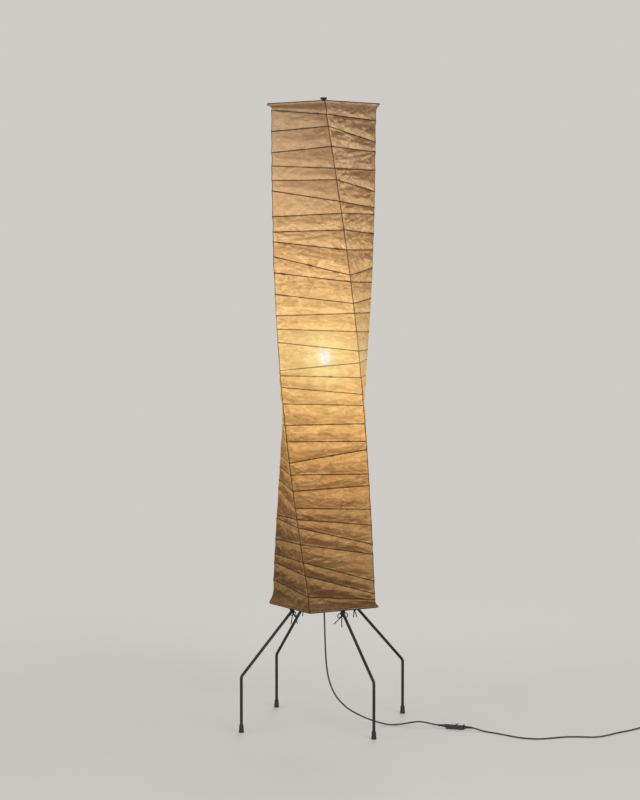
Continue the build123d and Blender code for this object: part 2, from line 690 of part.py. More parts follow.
def switch_body():
    """Outer shape of the switch with its noses, before it is split."""
    flat = RectangleRounded(SWITCH_L, SWITCH_W, SWITCH_CORNER_R)
    body = extrude(flat, SWITCH_H)
    body = fillet(body.edges().group_by(Axis.Z)[-1], SWITCH_EDGE_R)
    nose = Cylinder(SWITCH_NOSE_D / 2, SWITCH_L + 2 * SWITCH_NOSE_L, rotation=(0, 90, 0))
    body += Pos(0, 0, SWITCH_CORD_Z) * nose
    swing = max(ROCKER_L / 2, ROCKER_BELLY_R) + ROCKER_RISE * sin(radians(ROCKER_TILT)) + GAP
    well = Box(2 * swing, ROCKER_W + 2 * GAP, SWITCH_H, align=(Align.CENTER, Align.CENTER, Align.MIN))
    body -= Pos(0, 0, AXLE_Z - ROCKER_BELLY_R - GAP) * well
    axle = Cylinder(AXLE_D / 2 + SLIP, ROCKER_W + 2 * AXLE_STUB + 2 * BUTT, rotation=(90, 0, 0))
    body -= Pos(0, 0, AXLE_Z) * axle
    for side in (-1, 1):
        screw_hole = disc(SWITCH_SCREW_D / 2 + SLIP, 0, SWITCH_FLOOR + SWITCH_SCREW_L + BUTT)
        head_hole = disc(SWITCH_SCREW_HEAD_D / 2 + SLIP, 0, SWITCH_FLOOR)
        body -= Pos(side * SWITCH_SCREW_X, 0, 0) * (screw_hole + head_hole)
    return body


def switch_half(low, high):
    """The part of the switch's shell between two heights."""
    slab = Pos(0, 0, low) * Box(3 * SWITCH_L, 3 * SWITCH_W, high - low,
                                align=(Align.CENTER, Align.CENTER, Align.MIN))
    return switch_place() * (switch_body() & slab)


def switch_rocker():
    """Rocker with a dished top and axle stubs, resting with one end pressed."""
    half = ROCKER_L / 2
    belly = sqrt(ROCKER_BELLY_R ** 2 - ROCKER_SKIRT ** 2)
    outline = [
        Polyline((-belly, -ROCKER_SKIRT), (-half, -ROCKER_SKIRT), (-half, ROCKER_RISE), (0, ROCKER_DIP),
                 (half, ROCKER_RISE), (half, -ROCKER_SKIRT), (belly, -ROCKER_SKIRT)),
        ThreePointArc((belly, -ROCKER_SKIRT), (0, -ROCKER_BELLY_R), (-belly, -ROCKER_SKIRT)),
    ]
    block = extrude(Plane.XZ * make_face(outline), ROCKER_W / 2, both=True)
    block += Cylinder(AXLE_D / 2, ROCKER_W + 2 * AXLE_STUB, rotation=(90, 0, 0))
    return switch_place() * Pos(0, 0, AXLE_Z) * Rot(0, -ROCKER_TILT, 0) * block


def switch_screws():
    """Two screws that hold the switch's halves together from below."""
    head = disc(SWITCH_SCREW_HEAD_D / 2, SWITCH_FLOOR - SWITCH_SCREW_HEAD_T + SLIP, SWITCH_FLOOR)
    screw = head + disc(SWITCH_SCREW_D / 2, SWITCH_FLOOR, SWITCH_FLOOR + SWITCH_SCREW_L)
    return [switch_place() * Pos(side * SWITCH_SCREW_X, 0, 0) * screw for side in (-1, 1)]


def plug_place():
    """Place of the plug at the coil's free end, its length along +X of the place."""
    _, end, way = coil_path()
    return Plane(origin=end, x_dir=way, z_dir=(0, 0, 1)).location


def blade(side):
    """One contact blade of the plug, without its play in the body."""
    return Pos(PLUG_NOSE_L + PLUG_L - BLADE_ROOT, side * BLADE_SPACING / 2, 0) * Box(
        BLADE_L + BLADE_ROOT, BLADE_T, BLADE_W, align=(Align.MIN, Align.CENTER, Align.CENTER))


def plug_body():
    """Moulded plug with a round nose for the cord and a pocket for each blade."""
    block = Pos(PLUG_NOSE_L, 0, 0) * extrude(
        Plane.YZ * RectangleRounded(PLUG_W, PLUG_T, PLUG_CORNER_R), PLUG_L)
    block += Cylinder(PLUG_NOSE_D / 2, PLUG_NOSE_L, rotation=(0, 90, 0),
                      align=(Align.CENTER, Align.CENTER, Align.MIN))
    for side in (-1, 1):
        block -= blade(side)
    return plug_place() * block


def plug_blades():
    """The plug's two flat blades."""
    return [plug_place() * blade(side) for side in (-1, 1)]


# All nodes, by name
def nodes():
    """Every sub-part of the lamp, by the name of its file."""
    made = {}
    places = ("front_right", "back_right", "back_left", "front_left")
    for place, angle in zip(places, LEG_ANGLES):
        made[f"leg_{place}"] = turned(leg(), angle)
        made[f"foot_{place}"] = turned(foot(), angle)
        made[f"tie_{place}"] = turned(tie(), angle)
    made["leg_hub"] = hub()
    made["leg_screws"] = leg_screws()
    made["cord_gland"] = gland()
    stem_end = COUPLING_WEB / 2
    made["stem_lower"] = ring(STEM_D / 2, STEM_BORE_R, STEM_BOTTOM_Z, COUPLING_Z - stem_end)
    made["stem_upper"] = ring(STEM_D / 2, STEM_BORE_R, COUPLING_Z + stem_end, STEM_TOP_Z)
    made["stem_coupling"] = coupling()
    nipple_low = STEM_TOP_Z - NIPPLE_IN_STEM
    made["stem_nipple"] = ring(NIPPLE_D / 2, NIPPLE_D / 2 - NIPPLE_WALL, nipple_low, nipple_low + NIPPLE_L)
    made["supply_lead"] = disc(CORD_D / 2, CORD_TOP_Z, nipple_low + NIPPLE_L)
    made["harp_saddle"] = harp_saddle()
    made["harp_bridge"] = harp_bridge()
    made["harp_wire_left"] = harp_wire(-1)
    made["harp_wire_right"] = harp_wire(1)
    made["top_stud"] = top_stud()
    made["holder_cap"] = holder_cap()
    made["holder_shell"] = holder_shell()
    shell_bore = HOLDER_D / 2 - HOLDER_WALL - SLIP
    made["holder_insulator"] = disc(shell_bore, SHELL_Z, CONTACT_Z)
    made["holder_sleeve"] = ring(SLEEVE_BORE_R + SLEEVE_WALL, SLEEVE_BORE_R, CONTACT_Z, CONTACT_Z + SLEEVE_L)
    made["holder_contact"] = disc(CONTACT_D / 2, CONTACT_Z, CONTACT_Z + CONTACT_T)
    made["bulb_tip"] = disc(BULB_TIP_D / 2, BULB_TIP_Z, BULB_DISC_Z)
    made["bulb_disc"] = disc(BULB_DISC_D / 2, BULB_DISC_Z, BULB_CAP_Z)
    made["bulb_cap"] = disc(BULB_CAP_D / 2, BULB_CAP_Z, BULB_NECK_Z)
    made["bulb_glass"] = bulb_glass()
    for corner, side in enumerate(("right", "back", "left", "front")):
        made[f"paper_{side}"] = paper_face(corner)
        made[f"string_{side}"] = corner_string(corner)
    hoops = [rib(level) for level in shade_levels()[2:-2]]
    for first in range(0, len(hoops), RIBS_PER_NODE):
        made[f"ribs_{first // RIBS_PER_NODE + 1}"] = hoops[first:first + RIBS_PER_NODE]
    made["rim_top"] = top_rim()
    made["rim_bottom"] = rim_wire(BOTTOM_RIM_Z)
    made["finial"] = finial()
    made["cord_drop"] = cord_tube("cord_drop", drop_route())
    made["cord_floor"] = cord_tube("cord_floor", floor_route())
    made["cord_coil"] = coil()
    made["switch_base"] = switch_half(0, SWITCH_CORD_Z)
    made["switch_cover"] = switch_half(SWITCH_CORD_Z, SWITCH_H)
    made["switch_rocker"] = switch_rocker()
    made["switch_screws"] = switch_screws()
    made["plug_body"] = plug_body()
    made["plug_blades"] = plug_blades()
    return made


os.makedirs("parts", exist_ok=True)
for name, shape in nodes().items():
    whole = Compound(children=list(shape)) if isinstance(shape, list) else shape
    export_step(whole, f"parts/{name}.step")
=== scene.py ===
"""Looks of the paper floor lamp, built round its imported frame. Metres, +Z up, in the frame's own axes.

Angles round the lamp are counted in degrees from the front, which is -Y, towards +X.
"""
import json
from math import atan2, cos, degrees, exp, hypot, pi, radians, sin, sqrt, tanh
from random import Random
from typing import NamedTuple

import bmesh
import bpy
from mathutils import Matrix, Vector, noise


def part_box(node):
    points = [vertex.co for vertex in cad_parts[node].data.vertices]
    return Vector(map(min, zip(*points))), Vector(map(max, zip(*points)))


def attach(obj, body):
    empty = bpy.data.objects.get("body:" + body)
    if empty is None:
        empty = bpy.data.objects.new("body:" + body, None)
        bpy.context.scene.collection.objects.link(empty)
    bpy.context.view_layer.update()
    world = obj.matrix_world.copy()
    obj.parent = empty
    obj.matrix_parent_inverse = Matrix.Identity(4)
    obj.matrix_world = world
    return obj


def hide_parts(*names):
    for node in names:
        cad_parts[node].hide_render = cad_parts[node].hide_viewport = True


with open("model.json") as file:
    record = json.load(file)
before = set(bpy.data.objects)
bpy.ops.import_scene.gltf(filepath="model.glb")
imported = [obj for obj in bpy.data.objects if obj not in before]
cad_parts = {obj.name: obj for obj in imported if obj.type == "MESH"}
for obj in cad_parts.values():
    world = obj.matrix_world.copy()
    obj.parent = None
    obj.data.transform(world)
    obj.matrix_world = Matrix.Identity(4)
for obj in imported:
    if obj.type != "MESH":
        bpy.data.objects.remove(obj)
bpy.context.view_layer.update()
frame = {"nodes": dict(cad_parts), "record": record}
NODES = frame["nodes"]
PLACES = ("front_right", "back_right", "back_left", "front_left")
SIDES = ("right", "back", "left", "front")

# Camera, at the photograph's viewing angle
CAMERA_AT = (1.7684, -7.1389, 1.4745)
CAMERA_AZIMUTH = 14.0
CAMERA_PITCH = 3.66  # degrees below level
FOCAL_PX = 2393.8
FRAME_H_PX = 800
SENSOR_MM = 36.0

# Cord, switch and coil
CORD_D = 0.005
FLOOR_CORD_Z = 0.0026
GLAND_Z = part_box("cord_gland")[0].z
SWITCH_AT = (0.414, 0.006, 0.0075)
SWITCH_HEADING = -8.0
SWITCH_REACH = 0.036
CORD_LEAD = 0.024
COIL_START = (0.986, 0.189)
COIL_HEADING = 62.0
COIL_OUTER_R = 0.038
COIL_HALF_TURNS = 6  # in each layer
COIL_PITCH = 0.0055
COIL_TAIL = 0.034
COIL_STEPS = 9  # control points in each half turn

# Shade
SHADE_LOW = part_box("paper_right")[0].z
SHADE_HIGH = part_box("paper_right")[1].z
SHADE_TWIST = 75.0
TWIST_WAVE = 2.0  # degrees ahead in the lower half, behind in the upper
BOTTOM_CORNER = 90.0  # angle of the first corner at the bottom rim
RIM_REACH = 0.177  # half diagonal of the paper at both rims
HEM_H = 0.007
RIM_SHOWS = 0.0028  # of the rim wires, left bare
RIB_INSET = 0.0012  # from the paper's outer face to the ribs
PAPER_T = 0.0004
BULB_Z = 1.141  # height of the light's middle


def polar(radius, angle, z):
    """Point at a radius and at an angle from the front."""
    return Vector((radius * sin(radians(angle)), -radius * cos(radians(angle)), z))


def heading(angle):
    """Level direction at an angle from +X towards +Y."""
    return Vector((cos(radians(angle)), sin(radians(angle)), 0))


def level_to(place):
    """Level direction from the lamp's axis to a place."""
    return Vector((place.x, place.y, 0)).normalized()


def drift(*place):
    """Smooth noise at a place, about -1 to 1."""
    return noise.noise(Vector(place))


def link(name, data):
    """A new object of the scene."""
    made = bpy.data.objects.new(name, data)
    bpy.context.scene.collection.objects.link(made)
    return made


def smooth(value, low, high):
    """0 below low, 1 above high, and smooth between them."""
    share = min(max((value - low) / (high - low), 0.0), 1.0)
    return share * share * (3 - 2 * share)


# Camera
def make_camera():
    """The photograph's camera."""
    data = bpy.data.cameras.new("camera")
    data.sensor_width = SENSOR_MM
    data.lens = FOCAL_PX / FRAME_H_PX * SENSOR_MM
    made = link("camera", data)
    made.location = CAMERA_AT
    made.rotation_euler = (radians(90 - CAMERA_PITCH), 0, radians(CAMERA_AZIMUTH))
    bpy.context.scene.camera = made


# Materials
class Surface:
    """Short calls for the nodes of a material or a world. Each gives an output socket."""

    def __init__(self, owner, shader="Principled BSDF", **constants):
        owner.use_nodes = True
        self.material = owner
        self.tree = owner.node_tree
        self.shader = self.tree.nodes[shader]
        for socket, value in constants.items():
            self.shader.inputs[socket.replace("_", " ")].default_value = value

    def node(self, kind, *links, out=0, **settings):
        """A new node with its settings, fed by (input, value or socket) pairs."""
        made = self.tree.nodes.new(kind)
        for key, value in settings.items():
            setattr(made, key, value)
        for key, value in links:
            if isinstance(value, bpy.types.NodeSocket):
                self.tree.links.new(value, made.inputs[key])
            else:
                made.inputs[key].default_value = value
        return made.outputs[out]

    def feed(self, socket, value):
        """Leads an output to the shader."""
        self.tree.links.new(value, self.shader.inputs[socket])

    def where(self):
        """The piece's own coordinates in metres."""
        return self.node("ShaderNodeTexCoord", out="Object")

    def attribute(self, name):
        """A number kept on the mesh."""
        return self.node("ShaderNodeAttribute", attribute_name=name, out="Fac")

    def noise(self, scale, detail=4.0, rough=0.55, twist=0.0, stretch=(1, 1, 1), turn=(0, 0, 0)):
        """Cloudy noise, about 0 to 1, stretched and turned."""
        spot = self.node("ShaderNodeMapping", (0, self.where()), ("Scale", stretch), ("Rotation", turn))
        return self.node("ShaderNodeTexNoise", ("Vector", spot), ("Scale", scale), ("Detail", detail),
                         ("Roughness", rough), ("Distortion", twist))

    def ramp(self, value, *stops):
        """Colours along a value."""
        made = self.tree.nodes.new("ShaderNodeValToRGB")
        self.tree.links.new(value, made.inputs["Fac"])
        band = made.color_ramp.elements
        while len(band) < len(stops):
            band.new(0.5)
        for stop, (at, colour) in zip(band, stops):
            stop.position = at
            stop.color = (*colour, 1.0)
        return made.outputs["Color"]

    def span(self, value, low, high, to_low=0.0, to_high=1.0, kind="LINEAR"):
        """A value taken from one range to another, held at its ends."""
        return self.node("ShaderNodeMapRange", ("Value", value), ("From Min", low), ("From Max", high),
                         ("To Min", to_low), ("To Max", to_high), interpolation_type=kind)

    def math(self, operation, first, second):
        """Sum of two numbers, product or the like."""
        return self.node("ShaderNodeMath", (0, first), (1, second), operation=operation)

    def mix(self, share, first, second, blend="MIX"):
        """Two colours mixed by a share."""
        return self.node("ShaderNodeMix", (0, share), (6, first), (7, second), out=2,
                         data_type="RGBA", blend_type=blend)

    def bump(self, height, depth, strength=1.0):
        """Relief from a height, depth in metres."""
        self.feed("Normal", self.node("ShaderNodeBump", ("Height", height), ("Distance", depth),
                                      ("Strength", strength)))


NOISE_LOW = 0.3  # most of a noise's values lie between these
NOISE_HIGH = 0.7
GRAIN_FINER = 6  # than the clouds


def mottled(name, dark, light, rough, scale, relief=0.0, **constants):
    """A plain finish whose colour, gloss and relief all vary a little."""
    made = Surface(bpy.data.materials.new(name), **constants)
    cloud = made.noise(scale, detail=6.0)
    made.feed("Base Color", made.ramp(cloud, (NOISE_LOW, dark), (NOISE_HIGH, light)))
    grain = made.noise(scale * GRAIN_FINER, detail=3.0)
    made.feed("Roughness", made.span(grain, NOISE_LOW, NOISE_HIGH, *rough))
    if relief:
        made.bump(grain, relief)
    return made.material


# Colours of the paper from the bottom rim to the top, with painted shade that makes it darker towards both
# rims, and of the glow painted in for the light that comes through it
PAPER_AND_SHADE_STOPS = (
    (0.0, (0.205, 0.120, 0.046)),
    (0.25, (0.315, 0.188, 0.072)),
    (0.5, (0.48, 0.33, 0.15)),
    (0.75, (0.45, 0.305, 0.158)),
    (1.0, (0.40, 0.264, 0.152)),
)
GLOW_STOPS = (
    (0.0, (0.006, 0.001, 0.0)),
    (0.18, (0.07, 0.02, 0.002)),
    (0.30, (0.20, 0.07, 0.008)),
    (0.42, (0.35, 0.17, 0.036)),
    (0.50, (0.42, 0.265, 0.085)),
    (0.57, (0.38, 0.205, 0.05)),
    (0.67, (0.25, 0.105, 0.017)),
    (0.82, (0.13, 0.05, 0.008)),
    (1.0, (0.02, 0.007, 0.001)),
)
# HALO and CORE colour the bright spot painted where the bulb shows through the paper
HALO = (0.50, 0.42, 0.18, 1.0)
CORE = (0.46, 0.60, 0.72, 1.0)
# strengths of the glow painted on the paper, outside and on the brighter inside
PAPER_GLOW = 1.0
INSIDE_GLOW = 1.7
# LIT_STOPS: painted light and shade of the small folds, by how they face the bulb, on the paper's colour and
# glow
LIT_STOPS = (
    (0.0, (0.36, 0.27, 0.18)),
    (0.5, (1.0, 1.0, 1.0)),
    (1.0, (1.38, 1.42, 1.48)),
)
CLOUDS = {"scale": 26.0, "detail": 8.0, "rough": 0.65, "twist": 0.6}
STREAKS = {"scale": 95.0, "detail": 6.0, "rough": 0.6, "twist": 0.8, "stretch": (0.35, 0.35, 1)}
FIBRES = {"scale": 420.0, "detail": 4.0, "rough": 0.7, "twist": 1.5, "stretch": (0.4, 0.4, 1)}
PULP_SPAN = (0.25, 0.75)  # of the noises, from thick paper to thin
CLOUD_TONE = (0.9, 1.1)
FIBRE_TONE = (0.92, 1.08)
THREADS = ((70.0, 1.12), (110.0, 0.9))  # scale and tone of long fibres
THREAD_EDGE = (0.002, 0.012)
LIT_SPAN = (0.2, 1.8)
FOLD_SHADE_STOPS = (  # painted shade and highlight across a small fold, from its dark side to its light one
    (0.40, (1.0, 1.0, 1.0)),
    (0.478, (0.74, 0.68, 0.62)),
    (0.497, (0.95, 0.94, 0.92)),
    (0.508, (1.26, 1.28, 1.30)),
    (0.58, (1.0, 1.0, 1.0)),
)
FOLDS = (  # scale, lean and strength of each set of small folds; the strength is that of their painted shade
    (24.0, (0.30, 0.26, 0.0), 0.62),
    (34.0, (-0.26, -0.30, 0.4), 0.6),
    (58.0, (0.05, -0.06, 0.9), 0.5),
)
FOLD_NOISE = {"detail": 2.5, "rough": 0.5, "twist": 0.5, "stretch": (0.38, 0.38, 1)}
FOLD_EDGE = (0.47, 0.53)
FOLD_RELIEF = 0.25
FOLDS_BY_BULB = 0.25  # share of their painted shade left beside the bulb
STREAK_RELIEF = 0.6
FIBRE_RELIEF = 0.12
PAPER_RELIEF = 0.0018
# dark lines of the ribs and strings behind the paper, partly their painted shadow against the bulb's light
LINE_AND_SHADOW_COLOUR = (0.030, 0.013, 0.004, 1.0)
NO_LIGHT = (0.0, 0.0, 0.0, 1.0)
RIB_LINE_HALF_W = 0.0010
CORNER_LINE_HALF_W = 0.0018
LINE_BLUR = 0.0014
LINE_WAVER = 0.0005
LINE_DEPTH = 0.92
LINE_BY_BULB = 0.7  # share of that depth left beside the bulb, where the painted glow is brightest
CORNER_LINE_DEPTH = 0.82
SPLICE_HALF_W = 0.0022
KNOT_HALF_W = 0.0009


def paper_pulp(made, clouds, streaks, fibres):
    """How much lighter or darker the paper is for its uneven pulp."""
    pulp = made.math("MULTIPLY", made.span(clouds, *PULP_SPAN, *CLOUD_TONE),
                     made.span(streaks, *PULP_SPAN, *CLOUD_TONE))
    pulp = made.math("MULTIPLY", pulp, made.span(fibres, *PULP_SPAN, *FIBRE_TONE))
    for scale, shade in THREADS:
        thread = made.math("SUBTRACT", made.noise(scale, detail=1.0, twist=2.5), 0.5)
        thread = made.node("ShaderNodeMath", (0, thread), operation="ABSOLUTE")
        pulp = made.math("MULTIPLY", pulp, made.span(thread, *THREAD_EDGE, shade, 1.0, "SMOOTHSTEP"))
    return pulp


def paper_lines(made):
    """How dark the ribs and the strings behind the paper show, partly as their painted shadow against the
    bulb's light.
    """
    ragged = made.span(made.noise(55.0, detail=3.0), NOISE_LOW, NOISE_HIGH, -LINE_WAVER, LINE_WAVER)
    rib = made.math("SUBTRACT", made.math("ADD", made.attribute("rib"), ragged),
                    made.math("MULTIPLY", made.attribute("splice"), SPLICE_HALF_W))
    corner = made.math("SUBTRACT", made.attribute("corner"),
                       made.math("MULTIPLY", made.attribute("knot"), KNOT_HALF_W))
    rib_line = made.span(rib, RIB_LINE_HALF_W, RIB_LINE_HALF_W + LINE_BLUR, LINE_DEPTH, 0.0, "SMOOTHSTEP")
    corner_line = made.span(corner, CORNER_LINE_HALF_W, CORNER_LINE_HALF_W + LINE_BLUR,
                            CORNER_LINE_DEPTH, 0.0, "SMOOTHSTEP")
    return made.math("MULTIPLY", made.math("MAXIMUM", rib_line, corner_line),
                     made.span(made.attribute("near"), 0.0, 1.0, 1.0, LINE_BY_BULB))


def paper_material(name, glow_strength):
    """Wrinkled paper with painted light: a glow near the bulb, shade towards the rims and on its folds, and
    ribs and strings showing through as dark lines, partly painted shadow.
    """
    made = Surface(bpy.data.materials.new(name), Specular_IOR_Level=0.2, Emission_Strength=glow_strength)
    height = made.node("ShaderNodeSeparateXYZ", (0, made.where()), out="Z")
    share = made.span(height, SHADE_LOW, SHADE_HIGH)
    # the paper's colour, with painted shade that darkens it towards both rims
    colour = made.ramp(share, *PAPER_AND_SHADE_STOPS)
    glow = made.mix(made.attribute("halo"), made.ramp(share, *GLOW_STOPS), HALO)
    glow = made.mix(made.attribute("core"), glow, CORE)
    clouds = made.noise(**CLOUDS)
    streaks = made.noise(**STREAKS)
    fibres = made.noise(**FIBRES)
    # painted light and shade of the folds, times the paper's uneven pulp
    shade_and_pulp = made.ramp(made.span(made.attribute("lit"), *LIT_SPAN), *LIT_STOPS)
    shade_and_pulp = made.mix(1.0, shade_and_pulp, paper_pulp(made, clouds, streaks, fibres), "MULTIPLY")
    relief = made.math("ADD", clouds, made.math("MULTIPLY", streaks, STREAK_RELIEF))
    for scale, lean, strength in FOLDS:
        fold = made.noise(scale, turn=lean, **FOLD_NOISE)
        folded = made.math("MULTIPLY", made.attribute("crumple"), strength)
        shade_and_pulp = made.mix(folded, shade_and_pulp, made.ramp(fold, *FOLD_SHADE_STOPS), "MULTIPLY")
        relief = made.math("ADD", relief, made.span(fold, *FOLD_EDGE, 0.0, FOLD_RELIEF, "SMOOTHSTEP"))
    line = paper_lines(made)
    made.feed("Base Color", made.mix(line, made.mix(1.0, colour, shade_and_pulp, "MULTIPLY"), LINE_AND_SHADOW_COLOUR))
    through = made.mix(1.0, made.mix(1.0, glow, shade_and_pulp, "MULTIPLY"), made.attribute("thin"), "MULTIPLY")
    made.feed("Emission Color", made.mix(line, through, NO_LIGHT))
    made.feed("Roughness", made.span(clouds, NOISE_LOW, NOISE_HIGH, 0.72, 0.9))
    made.bump(made.math("ADD", relief, made.math("MULTIPLY", fibres, FIBRE_RELIEF)), PAPER_RELIEF, 0.8)
    return made.material


PLAIN = {  # two colours, least and most roughness, the clouds' scale and what else is set
    "black_steel": ((0.008, 0.0075, 0.007), (0.017, 0.016, 0.015), (0.42, 0.56), 40.0,
                    {"relief": 0.00012, "Specular_IOR_Level": 0.3}),
    "black_rubber": ((0.012, 0.012, 0.012), (0.024, 0.023, 0.022), (0.68, 0.85), 60.0, {"relief": 0.0001}),
    "black_string": ((0.010, 0.009, 0.009), (0.028, 0.026, 0.025), (0.8, 0.95), 900.0, {"relief": 0.0004}),
    "brown_string": ((0.20, 0.11, 0.05), (0.36, 0.22, 0.11), (0.8, 0.95), 700.0, {"relief": 0.0003}),
    "zinc_steel": ((0.45, 0.45, 0.43), (0.62, 0.62, 0.6), (0.25, 0.4), 120.0, {"Metallic": 1.0}),
    "black_plastic": ((0.013, 0.012, 0.012), (0.024, 0.023, 0.022), (0.38, 0.5), 90.0, {"relief": 0.00008}),
    "cord_cover": ((0.012, 0.010, 0.009), (0.026, 0.021, 0.018), (0.35, 0.5), 70.0, {"relief": 0.0001}),
    "white_ceramic": ((0.74, 0.72, 0.67), (0.84, 0.82, 0.78), (0.12, 0.22), 80.0, {}),
    "black_glass": ((0.015, 0.015, 0.02), (0.03, 0.03, 0.036), (0.06, 0.12), 200.0, {}),
    "brass": ((0.55, 0.38, 0.15), (0.72, 0.53, 0.24), (0.22, 0.38), 150.0, {"Metallic": 1.0}),
    "bamboo": ((0.24, 0.13, 0.05), (0.44, 0.27, 0.12), (0.45, 0.65), 60.0, {"relief": 0.0003}),
}


def plain_materials():
    """Finishes of all but the paper, by slot."""
    made = {}
    for slot, (dark, light, rough, scale, more) in PLAIN.items():
        made[slot] = mottled(slot, dark, light, rough, scale, **more)
    made["frosted_glass"] = frosted_glass()
    return made


GLASS_COLOURS = ((0.38, 0.34, 0.27), (0.45, 0.41, 0.33))
GLASS_GLOW = ((0.9, 0.68, 0.38), (1.0, 0.8, 0.5))


def frosted_glass():
    """Frosted bulb that gives a warm light."""
    made = Surface(bpy.data.materials.new("frosted_glass"), Emission_Strength=0.5)
    cloud = made.noise(60.0, detail=4.0)
    for socket, (dark, light) in (("Base Color", GLASS_COLOURS), ("Emission Color", GLASS_GLOW)):
        made.feed(socket, made.ramp(cloud, (NOISE_LOW, dark), (NOISE_HIGH, light)))
    made.feed("Roughness", made.span(cloud, NOISE_LOW, NOISE_HIGH, 0.35, 0.5))
    return made.material


def dress_frame(finishes):
    """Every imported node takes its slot's finish."""
    for part in frame["record"]["subparts"]:
        finish = finishes.get(part["material_slot"])
        if finish:
            data = NODES[part["node"]].data
            data.materials.clear()
            data.materials.append(finish)


# Cord
SWITCH = Vector(SWITCH_AT)
SWITCH_WAY = heading(SWITCH_HEADING)


def drop_route():
    """From the gland down to the floor, over a small arch and into the switch."""
    hung = [(0, 0, 0), (0, 0, -0.050), (0.003, -0.001, -0.114), (0.005, -0.002, -0.178)]
    laid = [(0.009, -0.005, 0.186), (0.019, -0.008, 0.132), (0.040, -0.009, 0.086), (0.076, -0.007, 0.050),
            (0.120, -0.003, 0.027), (0.164, 0.000, 0.012), (0.204, -0.003, 0.004), (0.240, 0.005, 0.005),
            (0.272, 0.015, 0.011), (0.302, 0.020, 0.015), (0.330, 0.018, 0.011)]
    return [
        *(Vector((x, y, GLAND_Z + z)) for x, y, z in hung),
        *(Vector(place) for place in laid),
        SWITCH - SWITCH_WAY * (SWITCH_REACH + CORD_LEAD),
        SWITCH - SWITCH_WAY * SWITCH_REACH,
    ]


def floor_route():
    """From the switch along the floor to the coil."""
    laid = [(0.508, -0.024), (0.556, -0.045), (0.600, -0.074), (0.642, -0.097), (0.688, -0.098),
            (0.726, -0.072), (0.764, -0.042), (0.808, -0.033), (0.850, -0.030), (0.880, 0.004),
            (0.904, 0.052), (0.938, 0.096), (0.960, 0.138)]
    start = Vector((*COIL_START, FLOOR_CORD_Z))
    return [
        SWITCH + SWITCH_WAY * SWITCH_REACH,
        SWITCH + SWITCH_WAY * (SWITCH_REACH + CORD_LEAD),
        *(Vector((x, y, FLOOR_CORD_Z)) for x, y in laid),
        start - heading(COIL_HEADING) * CORD_LEAD,
        start,
    ]


def coil_route():
    """Half turns that spiral in on the floor, climb a layer and spiral out, then the straight end.

    Control points stand outside their arcs by the factor spread, so that the spline has the arcs' size.
    """
    step = COIL_PITCH / 2
    inward = [COIL_OUTER_R - step * k for k in range(COIL_HALF_TURNS)]
    turns = [(radius, 0.0) for radius in inward]
    turns += [(COIL_OUTER_R - step * COIL_HALF_TURNS, COIL_PITCH)]
    turns += [(radius, 0.0) for radius in reversed(inward)]
    way = heading(COIL_HEADING)
    here = Vector((*COIL_START, FLOOR_CORD_Z)) + way * CORD_D
    spread = 4 / (3 + cos(pi / COIL_STEPS))
    points = [here.copy()]
    for radius, climb in turns:
        side = Vector((way.y, -way.x, 0))
        middle = here + side * radius
        for k in range(COIL_STEPS):
            turn = pi * (k + 0.5) / COIL_STEPS
            lift = Vector((0, 0, climb * (k + 0.5) / COIL_STEPS))
            points.append(middle + (way * sin(turn) - side * cos(turn)) * radius * spread + lift)
        here = here + side * (2 * radius) + Vector((0, 0, climb))
        way = -way
    return [*points, here + way * CORD_D, here + way * COIL_TAIL]


def round_curve(name, diameter, sides, steps, finish):
    """A curve for round lines. Sides and steps set how fine they are."""
    data = bpy.data.curves.new(name, "CURVE")
    data.dimensions = "3D"
    data.bevel_depth = diameter / 2
    data.bevel_resolution = sides
    data.resolution_u = steps
    data.use_fill_caps = True
    data.materials.append(finish)
    return data


def add_line(curve, points, closed=False):
    """One more smooth line of a curve, from its control points."""
    line = curve.splines.new("NURBS")
    line.points.add(len(points) - 1)
    for point, place in zip(line.points, points):
        point.co = (*place, 1.0)
    line.order_u = 3
    line.use_cyclic_u = closed
    line.use_endpoint_u = not closed


def make_cord(finish):
    """The supply cord from the gland to the plug."""
    curve = round_curve("supply_cord", CORD_D, 5, 8, finish)
    add_line(curve, [*drop_route(), *floor_route(), *coil_route()])
    cord = link("supply_cord", curve)
    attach(cord, "stand")
    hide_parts("cord_drop", "cord_floor", "cord_coil")
    return cord


# Shade
def corner_angle(z, corner):
    """Angle of a corner of the twisted column."""
    share = (z - SHADE_LOW - HEM_H) / (SHADE_HIGH - SHADE_LOW - 2 * HEM_H)
    share = min(max(share, 0), 1)
    return BOTTOM_CORNER - SHADE_TWIST * share - TWIST_WAVE * sin(2 * pi * share) + 90.0 * corner


CORNER_SPAN = 45  # degrees to either side of a corner


def rib_corners(points):
    """The paper's four corners at one rib, from its hoop's points."""
    corners = []
    for corner in range(4):
        near = []
        for point in points:
            off = degrees(atan2(point.x, -point.y)) - corner_angle(point.z, corner)
            if abs((off + 180) % 360 - 180) < CORNER_SPAN:
                near.append(point)
        near.sort(key=lambda point: -hypot(point.x, point.y))
        middle = (near[0] + near[1]) / 2
        reach = hypot(middle.x, middle.y) + RIB_INSET * sqrt(2)
        corners.append(polar(reach, corner_angle(middle.z, corner), middle.z))
    return corners


def rib_hoops():
    """The paper's corners at every packed rib, from the top down."""
    found = []
    for name in sorted(node for node in NODES if node.startswith("ribs_")):
        hoops = bmesh.new()
        hoops.from_mesh(NODES[name].data)
        bmesh.ops.remove_doubles(hoops, verts=hoops.verts, dist=1e-6)
        left = list(hoops.verts)
        while left:
            hoop = [left[0]]
            for vert in hoop:
                for edge in vert.link_edges:
                    other = edge.other_vert(vert)
                    if other not in hoop:
                        hoop.append(other)
            left = [vert for vert in left if vert not in hoop]
            found.append(rib_corners([vert.co.copy() for vert in hoop]))
        hoops.free()
    return sorted(found, key=lambda corners: -sum(corner.z for corner in corners))


